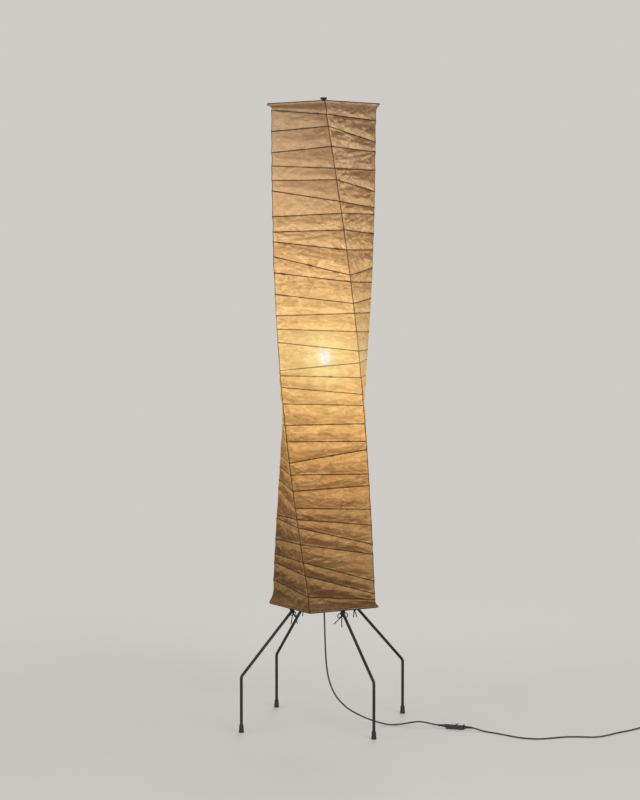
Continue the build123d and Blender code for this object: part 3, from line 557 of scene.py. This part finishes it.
def shade_levels():
    """The paper's corners at every hem and rib, from the top down."""
    def rim(z):
        return [polar(RIM_REACH, corner_angle(z, corner), z) for corner in range(4)]
    top = [rim(SHADE_HIGH - RIM_SHOWS), rim(SHADE_HIGH - HEM_H)]
    return [*top, *rib_hoops(), rim(SHADE_LOW + HEM_H), rim(SHADE_LOW + RIM_SHOWS)]


# The paper's mesh. Four numbers in a row are for the faces in the order of SIDES, or for their first corners.
ROW_STEP = 0.0033
COLUMNS = 74
EDGE_STEPS = (0.0016, 0.0042)  # rows and columns beside a rib or a corner
EDGE_MOST = 0.3  # of a bay's height, the most for such a row

# How the paper hangs between its ribs and corners
SAG = (-0.0046, -0.0040, -0.0044, -0.0036)  # of a bay SAG_BAY_H high
SAG_BAY_H = 0.030
SAG_MOST = 1.35  # share to which the sag of higher bays grows
SAG_SPREAD = 0.5
SAG_BY_RIM = 0.5
SAG_ROUND = 0.25  # how round a bay is
SAG_EDGE = 0.1  # share of the width beside a corner
VALLEY = 0.52  # where a bay is deepest, from its upper rib
VALLEY_SHIFT = 0.07  # lower above the bulb, higher below it
VALLEY_SHIFT_H = 0.1
VALLEY_SPREAD = 0.17
VALLEY_WAVER = 0.06
VALLEY_LIMITS = (0.28, 0.74)
CALM = (0.0, 0.3, 0.3, 0.6)  # how much smoother it is at the top
CALM_Z = (1.47, 1.64)
TOP_FLARE = 5.0  # how late the paper turns out to the rims
BOTTOM_FLARE = 3.2
TOP_DRAWN = (0.0033, 0.0090, 0.0033, 0.0033)  # drawn in round each corner of the rims
BOTTOM_DRAWN = (0.0030, 0.0030, 0.0030, 0.0010)
DRAWN_W = 0.022
CORNER_SAG = -0.0012
CORNER_SPREAD = 0.0018
PUFF = (0.007, 0.003, 0.009, 0.0)  # of loose paper beside the corners
PUFF_Z = 0.99
PUFF_H = 0.17
PUFF_BAY_H = 0.03
PUFF_RISE_W = 0.010
PUFF_FALL = (0.018, 0.06)

# Its folds
CREASES = (26, 20, 20, 18)  # in each bay
CREASE_H = (0.0027, 0.0021, 0.0021, 0.0020)
WAVES = (0.0012, 0.0011, 0.0010, 0.0011)
WAVE_SETS = ((1.0, 9, 60, 0), (0.5, 22, 120, 3))  # share, waves per metre across and up, and seed
WAVE_LEAN = 0.45
RIDGE_GAIN = 2.3
RIDGE_POWER = 1.4
RIDGE_MEAN = 0.3
FOLD_LIMIT = 0.0024
FOLD_EDGE_W = 0.006  # beside a rib, over which the folds come in
FOLD_EDGE_SHARE = 0.07  # and beside a corner, as a share
LIPS = (0.0014, 0.0006, 0.0008, 0.0003)  # soft rolls beside the ribs
LIP_OFF = 0.0065
LIP_W = 0.0035
UPPER_LIP = 0.7  # of the roll under a rib against the one over it

# What shows through it
LINE_WANDER = 0.0011
SPLICES = {1: 0.845, 9: 0.865, 10: 0.475, 11: 0.12, 17: 0.62, 22: 0.55}  # ribs, and shares across
SPLICE_L = 0.009
SPLICE_FADE = 0.004
SPLICE_EDGE = (0.0016, 0.0044)  # off the rib, where a splice ends
KNOT_R = 0.004

# The bulb's light, painted on it
THIN = (0.7, 0.9, 0.85, 1.0)  # share of the painted glow let through above the bulb
THIN_Z = (1.0, 1.2)
LIT_DEPTH = (0.95, 0.9, 0.85, 0.9)
LIT_DEEPER = 0.15  # more at the bottom
LIT_DEEPER_Z = (0.5, 0.95)
LIT_GAIN = 0.8
LIT_FLATTEST = 0.14  # least light on a smooth face
SPOT_TALL = 1.3  # height of the bright spot against its width
HALO_R = 0.049
CORE_R = 0.0175
HALO_SHARE = (0.3, 0.9, 0.3, 1.0)
CORE_SHARE = (0.1, 0.8, 0.1, 1.0)
HOT_SHIFT = (0.0, -0.010, 0.0, 0.017)
NEAR_R = 0.17
DIM_EDGE = (-0.044, -0.030)  # where a soft shadow beside the bright spot ends
DIM_H = 0.1
DIM_SHARE = 0.10


def ridge(value):
    """1 where the noise crosses zero, and 0 away from there."""
    return (1 - min(abs(value) * RIDGE_GAIN, 1)) ** RIDGE_POWER


def bell(value, width):
    """1 at zero, and less away from it."""
    return exp(-((value / width) ** 2))


class Crease:
    """A straight fold in a face, in metres along the face and up."""

    FROM_CORNERS = 0.45  # share that starts in a corner of the bay
    CORNER_LEAN = (6, 58)  # degrees
    CORNER_LEVEL = (0.5, 1)  # part of that lean which is left
    OTHER_LEAN = 13  # degrees, along the ribs
    CORNER_RISE = 0.12  # share of the length to come in
    OTHER_RISE = 0.3
    FALL = 0.4  # and to go out
    LENGTH = (0.03, 0.1)
    HEIGHT = (0.4, 1.0)
    HALF_W = (0.0024, 0.0052)
    REACH = 5  # half widths

    def __init__(self, draw, nodes, size):
        if draw.random() < self.FROM_CORNERS:
            number = draw.randrange(4)
            self.x, self.z = nodes[number]
            lean = radians(draw.uniform(*self.CORNER_LEAN)) * draw.uniform(*self.CORNER_LEVEL)
            self.along_x = cos(lean) * (1 if number % 2 == 0 else -1)
            self.along_z = sin(lean) * (1 if number > 1 else -1)
            self.rise = self.CORNER_RISE
        else:
            share = draw.random()
            left = nodes[2][1] + (nodes[0][1] - nodes[2][1]) * draw.random()
            right = nodes[3][1] + (nodes[1][1] - nodes[3][1]) * draw.random()
            self.x = nodes[0][0] + (nodes[1][0] - nodes[0][0]) * share
            self.z = left + (right - left) * share
            lean = radians(draw.gauss(0, self.OTHER_LEAN))
            self.along_x = cos(lean) * draw.choice((-1, 1))
            self.along_z = sin(lean)
            self.rise = self.OTHER_RISE
        self.length = draw.uniform(*self.LENGTH)
        self.height = size * draw.uniform(*self.HEIGHT) * draw.choice((1, 1, -1))
        self.half_w = draw.uniform(*self.HALF_W)

    def at(self, x, z):
        """Height of the fold at a point."""
        off_x = x - self.x
        off_z = z - self.z
        share = (off_x * self.along_x + off_z * self.along_z) / self.length
        if not 0 < share < 1:
            return 0.0
        off = abs(off_x * self.along_z - off_z * self.along_x)
        if off > self.REACH * self.half_w:
            return 0.0
        ends = smooth(share, 0, self.rise) * smooth(1 - share, 0, self.FALL)
        return self.height * exp(-off / self.half_w) * ends


def bay_creases(face, bay, levels):
    """The folds of one bay of a face."""
    draw = Random(100 * face + bay)
    upper, lower = levels[bay], levels[bay + 1]
    near, far = face, (face + 1) % 4
    half = (upper[far] - upper[near]).length / 2
    nodes = [(-half, upper[near].z), (half, upper[far].z), (-half, lower[near].z), (half, lower[far].z)]
    return [Crease(draw, nodes, CREASE_H[face]) for _ in range(CREASES[face])]


def waves(face, x, z):
    """Height of the soft waves, which lie along the ribs."""
    seed = 11.7 * face
    leaned = z + WAVE_LEAN * x * drift(x * 4, z * 7, seed + 9)
    height = 0.0
    for share, across, up, shift in WAVE_SETS:
        height += share * (ridge(drift(x * across, leaned * up, seed + shift)) - RIDGE_MEAN)
    return WAVES[face] * height


def along(size, count):
    """Shares from 0 to 1, closer together at both ends."""
    ends = [step / size for step in EDGE_STEPS if step < EDGE_MOST * size]
    first = ends[-1] if ends else 0.0
    inner = [first + (1 - 2 * first) * k / count for k in range(1, count)]
    return [0.0, *ends, *inner, *(1 - end for end in reversed(ends)), 1.0]


def rim_share(bay, v, last):
    """1 in the hems, falling to 0 within the bays beside them."""
    if bay in (0, last):
        return 1.0
    if bay == 1:
        return (1 - v) ** TOP_FLARE
    if bay == last - 1:
        return v ** BOTTOM_FLARE
    return 0.0


def corner_at(bay, corner, v, levels):
    """A corner of the paper at a share down a bay. Beside the rims it turns out late."""
    upper, lower = levels[bay][corner], levels[bay + 1][corner]
    last = len(levels) - 2
    rim = rim_share(bay, v, last)
    place = upper.lerp(lower, {1: 1 - rim, last - 1: rim}.get(bay, v))
    place.z = upper.z + (lower.z - upper.z) * v
    return place


def corner_bow(bay, corner):
    """How far the paper's corner stands out halfway between two ribs."""
    return CORNER_SAG + CORNER_SPREAD * drift(bay * 2.3, corner * 5.9, 4.1)


def sag(face, bay, x, v, drop, bay_z, beside_rim):
    """How far a bay stands in at a point. It is deepest along a wavering line."""
    middle = VALLEY + VALLEY_SHIFT * tanh((bay_z - BULB_Z) / VALLEY_SHIFT_H)
    middle += VALLEY_SPREAD * drift(x * 13, bay * 2.9, face * 4.3)
    middle += VALLEY_WAVER * drift(x * 45, bay * 5.3, face * 2.1)
    middle = min(max(middle, VALLEY_LIMITS[0]), VALLEY_LIMITS[1])
    share = v / middle if v < middle else (1 - v) / (1 - middle)
    depth = SAG[face] * min(drop / SAG_BAY_H, SAG_MOST)
    depth *= 1 + SAG_SPREAD * drift(bay * 1.7, face * 3.1, 0.5)
    if beside_rim:
        depth *= SAG_BY_RIM
    return depth * share * (1 + SAG_ROUND - SAG_ROUND * share * share)


def crumple(face, z):
    """How wrinkled the paper is at a height."""
    return 1 - CALM[face] * smooth(z, *CALM_Z)


class Point(NamedTuple):
    """A point of the paper and what the finish needs to know there."""

    place: Vector
    x: float
    rim: float
    rib: float
    corner: float
    splice: float = 0.0
    knot: float = 0.0


def both_edges(u, width):
    """0 at both edges of a face, rising to 1 within a share of its width."""
    return smooth(u, 0, width) * smooth(1 - u, 0, width)


def fold_rise(face, bay, creases, x, z, v, drop):
    """How far the folds and the rolls beside the ribs stand out."""
    folds = waves(face, x, z) + sum(crease.at(x, z) for crease in creases)
    held = smooth(min(v, 1 - v) * drop, 0, FOLD_EDGE_W) * crumple(face, z)
    rise = held * FOLD_LIMIT * tanh(folds / FOLD_LIMIT)
    lip = LIPS[face] * (0.7 + 0.6 * drift(x * 16, bay * 3.7, face + 0.5))
    over = bell((1 - v) * drop - LIP_OFF, LIP_W)
    under = bell(v * drop - LIP_OFF, LIP_W)
    return rise + lip * (over - UPPER_LIP * under)


def puff_rise(bay, corner, across):
    """How far loose paper stands out beside a corner, as a share."""
    fuller = 0.8 + 0.7 * drift(bay * 3.3, corner * 7.7, 2.6)
    return fuller * smooth(across, 0, PUFF_RISE_W) * (1 - smooth(across, *PUFF_FALL))


def splice_share(face, number, u, width, rib):
    """1 on a rib's splice, which only the front has, and 0 beside it."""
    if SIDES[face] != "front" or number not in SPLICES:
        return 0.0
    off = abs(u - SPLICES[number]) * width
    return (1 - smooth(off, SPLICE_L / 2, SPLICE_L / 2 + SPLICE_FADE)) * (1 - smooth(rib, *SPLICE_EDGE))


def paper_point(face, bay, levels, creases, u, v, out):
    """The point of a bay at its shares across and down."""
    near, far = face, (face + 1) % 4
    upper, lower = levels[bay], levels[bay + 1]
    last = len(levels) - 2
    left, right = corner_at(bay, near, v, levels), corner_at(bay, far, v, levels)
    width = (upper[far] - upper[near]).length
    x = (u - 0.5) * width
    place = left.lerp(right, u)
    drop = (upper[near] - lower[near]).length * (1 - u) + (upper[far] - lower[far]).length * u
    wander = LINE_WANDER * drift(place.z * 45, face, 1.5)
    corner = min(abs(u * width - wander), abs((1 - u) * width + wander))
    rim = rim_share(bay, v, last)
    hem = bay in (0, last)
    bow = 0.0 if hem else 4 * v * (1 - v)
    drawn = TOP_DRAWN if bay < 2 else BOTTOM_DRAWN
    for across, edge, number in ((u, left, near), (1 - u, right, far)):
        bulge = corner_bow(bay, number) * bow * (1 - smooth(across, 0, SAG_EDGE))
        bulge -= drawn[number] * rim * (1 - smooth(across * width, 0, DRAWN_W))
        place += level_to(edge) * bulge
    if hem:
        return Point(place, x, rim, 1.0, corner)
    rib = min(v, 1 - v) * drop
    bay_z = (upper[near].z + lower[far].z) / 2
    rise = sag(face, bay, x, v, drop, bay_z, bay in (1, last - 1))
    rise *= both_edges(u, SAG_EDGE) * crumple(face, bay_z)
    rise += both_edges(u, FOLD_EDGE_SHARE) * fold_rise(face, bay, creases, x, place.z, v, drop)
    loose = PUFF[face] * bell(bay_z - PUFF_Z, PUFF_H) * bow * min(drop / PUFF_BAY_H, 1)
    rise += loose * (puff_rise(bay, near, u * width) + puff_rise(bay, far, width - u * width))
    place += out * rise
    splice = splice_share(face, bay - 1 if v < 0.5 else bay, u, width, rib)
    knot = bell(hypot(rib, min(u, 1 - u) * width), KNOT_R)
    return Point(place, x, rim, rib, corner, splice, knot)


def paper_rows(face, levels):
    """Rows of points of one face from the top down."""
    rows = []
    for bay, (upper, lower) in enumerate(zip(levels, levels[1:])):
        far = (face + 1) % 4
        out = level_to(upper[face] + upper[far])
        drop = ((upper[face] - lower[face]).length + (upper[far] - lower[far]).length) / 2
        hem = bay in (0, len(levels) - 2)
        shares = along(drop, 2 if hem else max(3, round(drop / ROW_STEP)))
        columns = along((upper[far] - upper[face]).length, COLUMNS)
        creases = bay_creases(face, bay, levels)
        for v in shares[0 if bay == 0 else 1:]:
            rows.append([paper_point(face, bay, levels, creases, u, v, out) for u in columns])
    return rows


def paper_light(face, rows):
    """The bulb's light and shade, as the finish paints them at each point.

    lit is the painted light and shade of a fold lit from inside, halo and core are the painted bright spot,
    near is 1 beside the bulb, crumple is the strength of the small folds' painted shade, and thin the painted
    light that comes through.
    """
    kept = {"lit": [], "halo": [], "core": [], "near": [], "crumple": [], "thin": []}
    for i, row in enumerate(rows):
        out = level_to(row[0].place + row[-1].place)
        for j, point in enumerate(row):
            over = rows[max(i - 1, 0)][j].place - rows[min(i + 1, len(rows) - 1)][j].place
            across = row[min(j + 1, len(row) - 1)].place - row[max(j - 1, 0)].place
            normal = across.cross(over).normalized()
            if normal.dot(out) < 0:
                normal = -normal
            z = point.place.z
            ray = Vector((point.place.x, point.place.y, z - BULB_Z)).normalized()
            flat = max(out.dot(ray), LIT_FLATTEST)
            depth = LIT_DEPTH[face] + LIT_DEEPER * (1 - smooth(z, *LIT_DEEPER_Z))
            turned = LIT_GAIN * (normal.dot(ray) / flat - 1)
            kept["lit"].append(1 + (1 - point.rim) * depth * turned / (1 + abs(turned)))
            off = hypot(point.x - HOT_SHIFT[face], z - BULB_Z)
            tall_off = hypot(point.x - HOT_SHIFT[face], (z - BULB_Z) / SPOT_TALL)
            kept["halo"].append(HALO_SHARE[face] * bell(tall_off, HALO_R))
            kept["core"].append(CORE_SHARE[face] * exp(-((tall_off / CORE_R) ** 3)))
            near = bell(off, NEAR_R)
            kept["near"].append(near)
            kept["crumple"].append(crumple(face, z) * (1 + (FOLDS_BY_BULB - 1) * near))
            thin = 1 + (THIN[face] - 1) * smooth(z, *THIN_Z)
            if SIDES[face] == "front":
                thin *= 1 - DIM_SHARE * bell(z - BULB_Z, DIM_H) * (1 - smooth(point.x, *DIM_EDGE))
            kept["thin"].append(thin)
    return kept


def make_paper(face, levels, outside, inside):
    """One face of the shade as a thin wrinkled sheet, with a brighter painted glow inside."""
    side = SIDES[face]
    rows = paper_rows(face, levels)
    wide = len(rows[0])
    points = [point for row in rows for point in row]
    quads = []
    for i in range(len(rows) - 1):
        for j in range(wide - 1):
            first = i * wide + j
            quads.append((first, first + wide, first + wide + 1, first + 1))
    data = bpy.data.meshes.new(f"shade_paper_{side}")
    data.from_pydata([point.place for point in points], [], quads)
    kept = paper_light(face, rows)
    for key in ("rib", "corner", "splice", "knot"):
        kept[key] = [getattr(point, key) for point in points]
    for key, values in kept.items():
        data.attributes.new(key, "FLOAT", "POINT").data.foreach_set("value", values)
    data.polygons.foreach_set("use_smooth", [True] * len(data.polygons))
    data.materials.append(outside)
    data.materials.append(inside)
    made = link(f"shade_paper_{side}", data)
    thick = made.modifiers.new("thickness", "SOLIDIFY")
    thick.thickness = PAPER_T
    thick.material_offset = 1
    thick.offset = -1.0
    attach(made, "shade")
    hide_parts(f"paper_{side}")


# String ties under the shade
MM = 0.001
UP = Vector((0, 0, 1))
RIGHT = Vector((1, 0, 0))
FRONT = Vector((0, -1, 0))
FIRST_LEG = 45  # degrees
LEG_D = 0.009
FOOT_CIRCLE_R = 0.292
KNEE_Z = 0.171
RIM_MIDDLE = (0.1223, 0.368)  # of a side of the bottom rim: radius and height
RIM_WIRE_D = 0.004
LEG_UNDER_RIM_Z = 0.3493  # of a leg's axis
STRING_D = 0.0031
WRAP_SHIFTS = (-0.0016, 0.0014)
WRAP_SPREAD = (1.6, 0.6)  # of the shifts, at the leg and at the rim
WRAP_POINTS = 14
WRAP_EASE = 1.04  # by which the control points stand out
WRAP_NARROW = 0.8  # width at the rim against the width at the leg
RIM_GAP = 0.0003
BOW_OFF = STRING_D * 0.9  # from the windings to the bow's knot
BOW_DOWN = 0.003
BOW_KNOT = {"length": 0.0036, "radius": 0.0021, "turns": 2.4, "points": 24}
BOW_LOOP = (  # mm sideways, up and away from the lamp's middle
    (0, 0, 0), (4, 3.5, 1), (10, 6, 2), (16, 2, 2.5), (15, -6, 1.5), (8, -8, 0), (2, -3, -0.5), (0, 0, 0))
TAILS_AWAY = (1.5, -1.5)
BOWS = {  # both loops' sizes, and the tails' sideways reach and drop in mm
    "front_right": ((1.05, 1.2), (((-4, -7), (-15, -13), (-29, -25)), ((1, -9), (-1, -22), (1, -38)))),
    "back_right": ((0.9, 1.0), (((-2, -8), (0, -18), (2, -30)), ((-7, -7), (-16, -14), (-22, -25)))),
    "back_left": ((1.0, 0.9), (((4, -8), (9, -19), (11, -31)), ((-2, -7), (-5, -13), (-4, -20)))),
    "front_left": ((1.0, 1.3), (((-3, -9), (-7, -20), (-12, -35)), ((7, -6), (15, -15), (22, -29)))),
}


def helix(middle, axis, first, second, length, radius, turns, points):
    """Points of a small coil round a middle."""
    made = []
    for k in range(points):
        share = k / (points - 1)
        turn = 2 * pi * turns * share
        around = (first * sin(turn) + second * cos(turn)) * radius
        made.append(middle + axis * length * (share - 0.5) + around)
    return made


def make_bow(place, angle, finish):
    """String wound round a leg and drawn up to the rim, tied in a bow."""
    radial = polar(1, angle, 0)
    side = polar(1, angle + 90, 0)
    slope = atan2(LEG_UNDER_RIM_Z - KNEE_Z, FOOT_CIRCLE_R - RIM_MIDDLE[0])
    up_leg = UP * sin(slope) - radial * cos(slope)
    to_rim = UP * cos(slope) + radial * sin(slope)
    rim = radial * RIM_MIDDLE[0] + UP * RIM_MIDDLE[1]
    knee = radial * FOOT_CIRCLE_R + UP * KNEE_Z
    on_leg = knee + up_leg * (rim - knee).dot(up_leg)
    around_r = LEG_D / 2 + STRING_D / 2
    top_r = around_r * WRAP_NARROW
    reach = (rim - on_leg).length - RIM_WIRE_D / 2 - STRING_D / 2 - RIM_GAP - top_r
    curve = round_curve(f"bow_{place}", STRING_D, 3, 6, finish)
    for shift in WRAP_SHIFTS:
        ring = []
        for k in range(WRAP_POINTS):
            turn = 2 * pi * k / WRAP_POINTS
            low = sin(turn) < 0
            radius = (around_r if low else top_r) * WRAP_EASE
            lift = 0.0 if low else reach
            lean = up_leg * (shift * WRAP_SPREAD[0 if low else 1])
            ring.append(on_leg + lean + side * cos(turn) * radius + to_rim * (sin(turn) * radius + lift))
        add_line(curve, ring, closed=True)
    knot = on_leg - to_rim * (around_r + BOW_OFF) - up_leg * BOW_DOWN
    add_line(curve, helix(knot, side, UP, radial, **BOW_KNOT))
    sizes, tails = BOWS[place]
    for sign, size in zip((-1, 1), sizes):
        add_line(curve, [knot + (side * sign * across + UP * high + radial * away) * MM * size
                         for across, high, away in BOW_LOOP])
    for away, tail in zip(TAILS_AWAY, tails):
        ends = [knot + (side * across + UP * high + radial * away) * MM for across, high in tail]
        add_line(curve, [knot, *ends])
    made = link(f"bow_{place}", curve)
    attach(made, "stand")
    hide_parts(f"tie_{place}")


# Strings down the corners, inside the ribs
CORNER_STRING_D = 0.0018
STRING_INSET = 0.0052  # from the paper's faces to its axis
CORNER_KNOT = {"length": 0.0042, "radius": CORNER_STRING_D * 0.75, "turns": 2.5, "points": 14}
RIM_BAY_SHARES = (0.0, 0.1, 0.3, 0.7, 0.9)  # down a bay beside a rim


def inside_corner(place, corner):
    """The string's place beside a place on the paper's corner."""
    return polar(hypot(place.x, place.y) - STRING_INSET * sqrt(2), corner_angle(place.z, corner), place.z)


def make_string(corner, levels, finish):
    """String down one corner with a knot at each rib."""
    curve = round_curve(f"corner_string_{SIDES[corner]}", CORNER_STRING_D, 2, 4, finish)
    line = []
    for bay in range(1, len(levels) - 2):
        beside_rim = bay in (1, len(levels) - 3)
        for v in RIM_BAY_SHARES if beside_rim else (0.0,):
            line.append(inside_corner(corner_at(bay, corner, v, levels), corner))
    add_line(curve, [*line, inside_corner(levels[-2][corner], corner)])
    for level in levels[2:-2]:
        add_line(curve, helix(inside_corner(level[corner], corner), UP, RIGHT, FRONT, **CORNER_KNOT))
    made = link(f"corner_string_{SIDES[corner]}", curve)
    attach(made, "shade")
    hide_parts(f"string_{SIDES[corner]}")


# Sleeves on the cord, and the strap of its coil
def cord_line(cord):
    """Points along a cord's own spline."""
    thin = cord.data.copy()
    thin.bevel_depth = 0.0
    holder = bpy.data.objects.new("line", thin)
    mesh = bpy.data.meshes.new_from_object(holder)
    points = [vert.co.copy() for vert in mesh.vertices]
    bpy.data.objects.remove(holder)
    bpy.data.curves.remove(thin)
    bpy.data.meshes.remove(mesh)
    return points


def on_line(line, distance):
    """Point and direction at a distance along a line."""
    for first, second in zip(line, line[1:]):
        step = (second - first).length
        if distance <= step:
            break
        distance -= step
    way = (second - first).normalized()
    return first + way * distance, way


def distance_to(line, place):
    """Distance along a line to its point nearest to a place."""
    walked = 0.0
    best = (1e9, 0.0)
    for first, second in zip(line, line[1:]):
        step = (second - first).length
        share = min(max((place - first).dot(second - first) / max(step * step, 1e-12), 0), 1)
        best = min(best, ((first.lerp(second, share) - place).length, walked + step * share))
        walked += step
    return best[1]


def soft_piece(name, rings, finish, capped=False):
    """Soft black piece of the stand through rings of points."""
    solid = bmesh.new()
    rows = [[solid.verts.new(point) for point in ring] for ring in rings]
    for row, other in zip(rows, rows[1:]):
        for k in range(len(row)):
            after = (k + 1) % len(row)
            solid.faces.new((row[k], row[after], other[after], other[k]))
    if capped:
        solid.faces.new(rows[0])
        solid.faces.new(rows[-1])
    bmesh.ops.recalc_face_normals(solid, faces=solid.faces)
    data = bpy.data.meshes.new(name)
    solid.to_mesh(data)
    solid.free()
    data.polygons.foreach_set("use_smooth", [len(polygon.vertices) == 4 for polygon in data.polygons])
    data.materials.append(finish)
    made = link(name, data)
    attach(made, "stand")
    return made


SLEEVE_SEGMENTS = 28
SLEEVE_ASIDE = Vector((0.3, 0.2, 1))
STEEP = 0.9
GROOVE_START = 0.6  # share of a rib's pitch
GROOVE = ((0.0, 0.0), (0.08, 0.0005), (0.38, 0.0005), (0.46, 0.0001))  # shares of the pitch, and depths
TIP_L = 0.001
TIP_DEPTH = 0.0004


def make_sleeve(name, line, start, sign, profile, finish):
    """Soft sleeve on the cord, from (distance, radius) pairs along it."""
    turns = [2 * pi * k / SLEEVE_SEGMENTS for k in range(SLEEVE_SEGMENTS)]
    rings = []
    for distance, radius in profile:
        middle, way = on_line(line, start + sign * distance)
        first = way.cross(SLEEVE_ASIDE if abs(way.z) < STEEP else RIGHT).normalized()
        second = way.cross(first)
        rings.append([middle + (first * cos(turn) + second * sin(turn)) * radius for turn in turns])
    return soft_piece(name, rings, finish, capped=True)


def ribbed_taper(length, wide, narrow, ribs):
    """Profile of a soft sleeve that narrows, with grooves round it."""
    profile = [(0.0, wide)]
    pitch = length / (ribs + 1)
    for k in range(ribs):
        at = pitch * (k + GROOVE_START)
        radius = wide + (narrow - wide) * at / length
        profile += [(at + pitch * share, radius - depth) for share, depth in GROOVE]
    return [*profile, (length - TIP_L, narrow), (length, narrow - TIP_DEPTH)]


def make_sleeves(cord, plug_at, finish):
    """Sleeves at the gland, at both ends of the switch and at the plug."""
    line = cord_line(cord)
    switch_in = distance_to(line, SWITCH - SWITCH_WAY * SWITCH_REACH)
    switch_out = distance_to(line, SWITCH + SWITCH_WAY * SWITCH_REACH)
    gland = ribbed_taper(0.026, 0.0046, 0.0031, 4)
    switch_end = ribbed_taper(0.021, 0.0040, 0.0030, 4)
    plug = ribbed_taper(0.026, 0.0045, 0.0031, 5)
    return [
        make_sleeve("gland_sleeve", line, 0.0, 1, gland, finish),
        make_sleeve("switch_sleeve_in", line, switch_in, -1, switch_end, finish),
        make_sleeve("switch_sleeve_out", line, switch_out, 1, switch_end, finish),
        make_sleeve("plug_sleeve", line, distance_to(line, plug_at), -1, plug, finish),
    ]


STRAP_W = 0.009
STRAP_T = 0.0009
STRAP_TURN = 205.0  # where the strap holds the coil, from +X
STRAP_GAPS = (0.0015, 0.0005, 0.0004)  # inside, outside and over the turns
STRAP_LOW = 0.0013


def make_strap(coil, finish):
    """Soft strap round the coil's turns."""
    turns = coil[2:-2]
    low = Vector((min(p.x for p in turns), min(p.y for p in turns), 0))
    high = Vector((max(p.x for p in turns), max(p.y for p in turns), 0))
    middle = (low + high) / 2
    out = heading(STRAP_TURN)
    beside = heading(STRAP_TURN + 90)
    inner = COIL_OUTER_R - COIL_PITCH / 2 * COIL_HALF_TURNS - CORD_D / 2 - STRAP_GAPS[0]
    outer = COIL_OUTER_R + CORD_D / 2 + STRAP_GAPS[1]
    top = FLOOR_CORD_Z + COIL_PITCH + CORD_D / 2 + STRAP_GAPS[2]
    section = [(inner, 0.003), (inner, top - 0.003), (inner + 0.0025, top), (outer - 0.0035, top),
               (outer, top - 0.004), (outer, 0.003), (outer - 0.002, STRAP_LOW), (inner + 0.002, STRAP_LOW)]
    rings = []
    for share in (-0.5, 0.0, 0.5):
        rings.append([middle + out * radius + UP * z + beside * STRAP_W * share for radius, z in section])
    made = soft_piece("coil_strap", rings, finish)
    thick = made.modifiers.new("thickness", "SOLIDIFY")
    thick.thickness = STRAP_T
    thick.offset = 1.0
    round_off = made.modifiers.new("round", "SUBSURF")
    round_off.levels = 2
    round_off.render_levels = 2
    return made


# Stage and light
FLOOR_COLOUR = (0.62, 0.60, 0.57)
FLOOR_DARK = tuple(0.97 * part for part in FLOOR_COLOUR)
FLOOR_R = 14.0
FADE_FROM = 0.2
FADE_TO = 2.8
FADE_LEAST = 0.3
WORLD_STRENGTH = 0.42
LIGHTS = (  # name, place, what it points at, width and power
    ("key", (3.6, -3.8, 2.1), (0, 0, 1.0), 2.6, 150.0),
    ("fill", (-3.0, -4.4, 1.7), (0, 0, 1.0), 3.0, 95.0),
    ("back", (-0.6, 4.6, 2.4), (0, 0, 1.1), 2.6, 90.0),
)


def show_backdrop(made, shown, output, fade=1.0):
    """Shows another shader to the rays that see the backdrop: camera, gloss and glass."""
    ray = made.tree.nodes.new("ShaderNodeLightPath")
    seen = ray.outputs["Is Camera Ray"]
    for kind in ("Is Glossy Ray", "Is Transmission Ray"):
        seen = made.math("MAXIMUM", seen, ray.outputs[kind])
    share = made.math("MULTIPLY", seen, fade)
    both = made.node("ShaderNodeMixShader", (0, share), (1, made.shader.outputs[0]), (2, shown))
    made.tree.links.new(both, made.tree.nodes[output].inputs["Surface"])


def make_stage():
    """Pale floor that fades into the same pale backdrop."""
    data = bpy.data.meshes.new("floor")
    disc = bmesh.new()
    bmesh.ops.create_circle(disc, cap_ends=True, segments=96, radius=FLOOR_R)
    disc.to_mesh(data)
    disc.free()
    made = Surface(bpy.data.materials.new("floor"), Roughness=0.8)
    cloud = made.noise(2.5, detail=3.0)
    made.feed("Base Color", made.ramp(cloud, (NOISE_LOW, FLOOR_DARK), (NOISE_HIGH, FLOOR_COLOUR)))
    reach = made.node("ShaderNodeVectorMath", (0, made.where()), operation="LENGTH", out="Value")
    fade = made.span(reach, FADE_FROM, FADE_TO, FADE_LEAST, 1.0, "SMOOTHSTEP")
    flat = made.node("ShaderNodeEmission", ("Color", (*FLOOR_COLOUR, 1.0)), ("Strength", 1.0))
    show_backdrop(made, flat, "Material Output", fade)
    data.materials.append(made.material)
    link("floor", data)


def make_world():
    """Even soft light, and the backdrop's colour."""
    world = bpy.data.worlds.new("studio")
    made = Surface(world, "Background", Color=(1.0, 1.0, 1.0, 1.0), Strength=WORLD_STRENGTH)
    shown = made.node("ShaderNodeBackground", ("Color", (*FLOOR_COLOUR, 1.0)))
    show_backdrop(made, shown, "World Output")
    bpy.context.scene.world = world


def make_light(name, at, to, size, power):
    """Large soft lamp that points at a place."""
    data = bpy.data.lights.new(name, "AREA")
    data.shape = "DISK"
    data.size = size
    data.energy = power
    made = link(name, data)
    made.location = at
    made.rotation_euler = (Vector(to) - Vector(at)).to_track_quat("-Z", "Y").to_euler()


make_camera()
finishes = plain_materials()
dress_frame(finishes)
supply_cord = make_cord(finishes["cord_cover"])
coil = coil_route()
sleeves = make_sleeves(supply_cord, coil[-1], finishes["black_rubber"])
coil_strap = make_strap(coil, finishes["black_rubber"])
for number, place in enumerate(PLACES):
    make_bow(place, FIRST_LEG + 90 * number, finishes["black_string"])
paper = paper_material("washi_paper", PAPER_GLOW)
lit_paper = paper_material("washi_paper_inside", INSIDE_GLOW)
LEVELS = shade_levels()
for face in range(4):
    make_paper(face, LEVELS, paper, lit_paper)
    make_string(face, LEVELS, finishes["brown_string"])
make_stage()
make_world()
for light in LIGHTS:
    make_light(*light)
bpy.context.scene.view_settings.view_transform = "Standard"
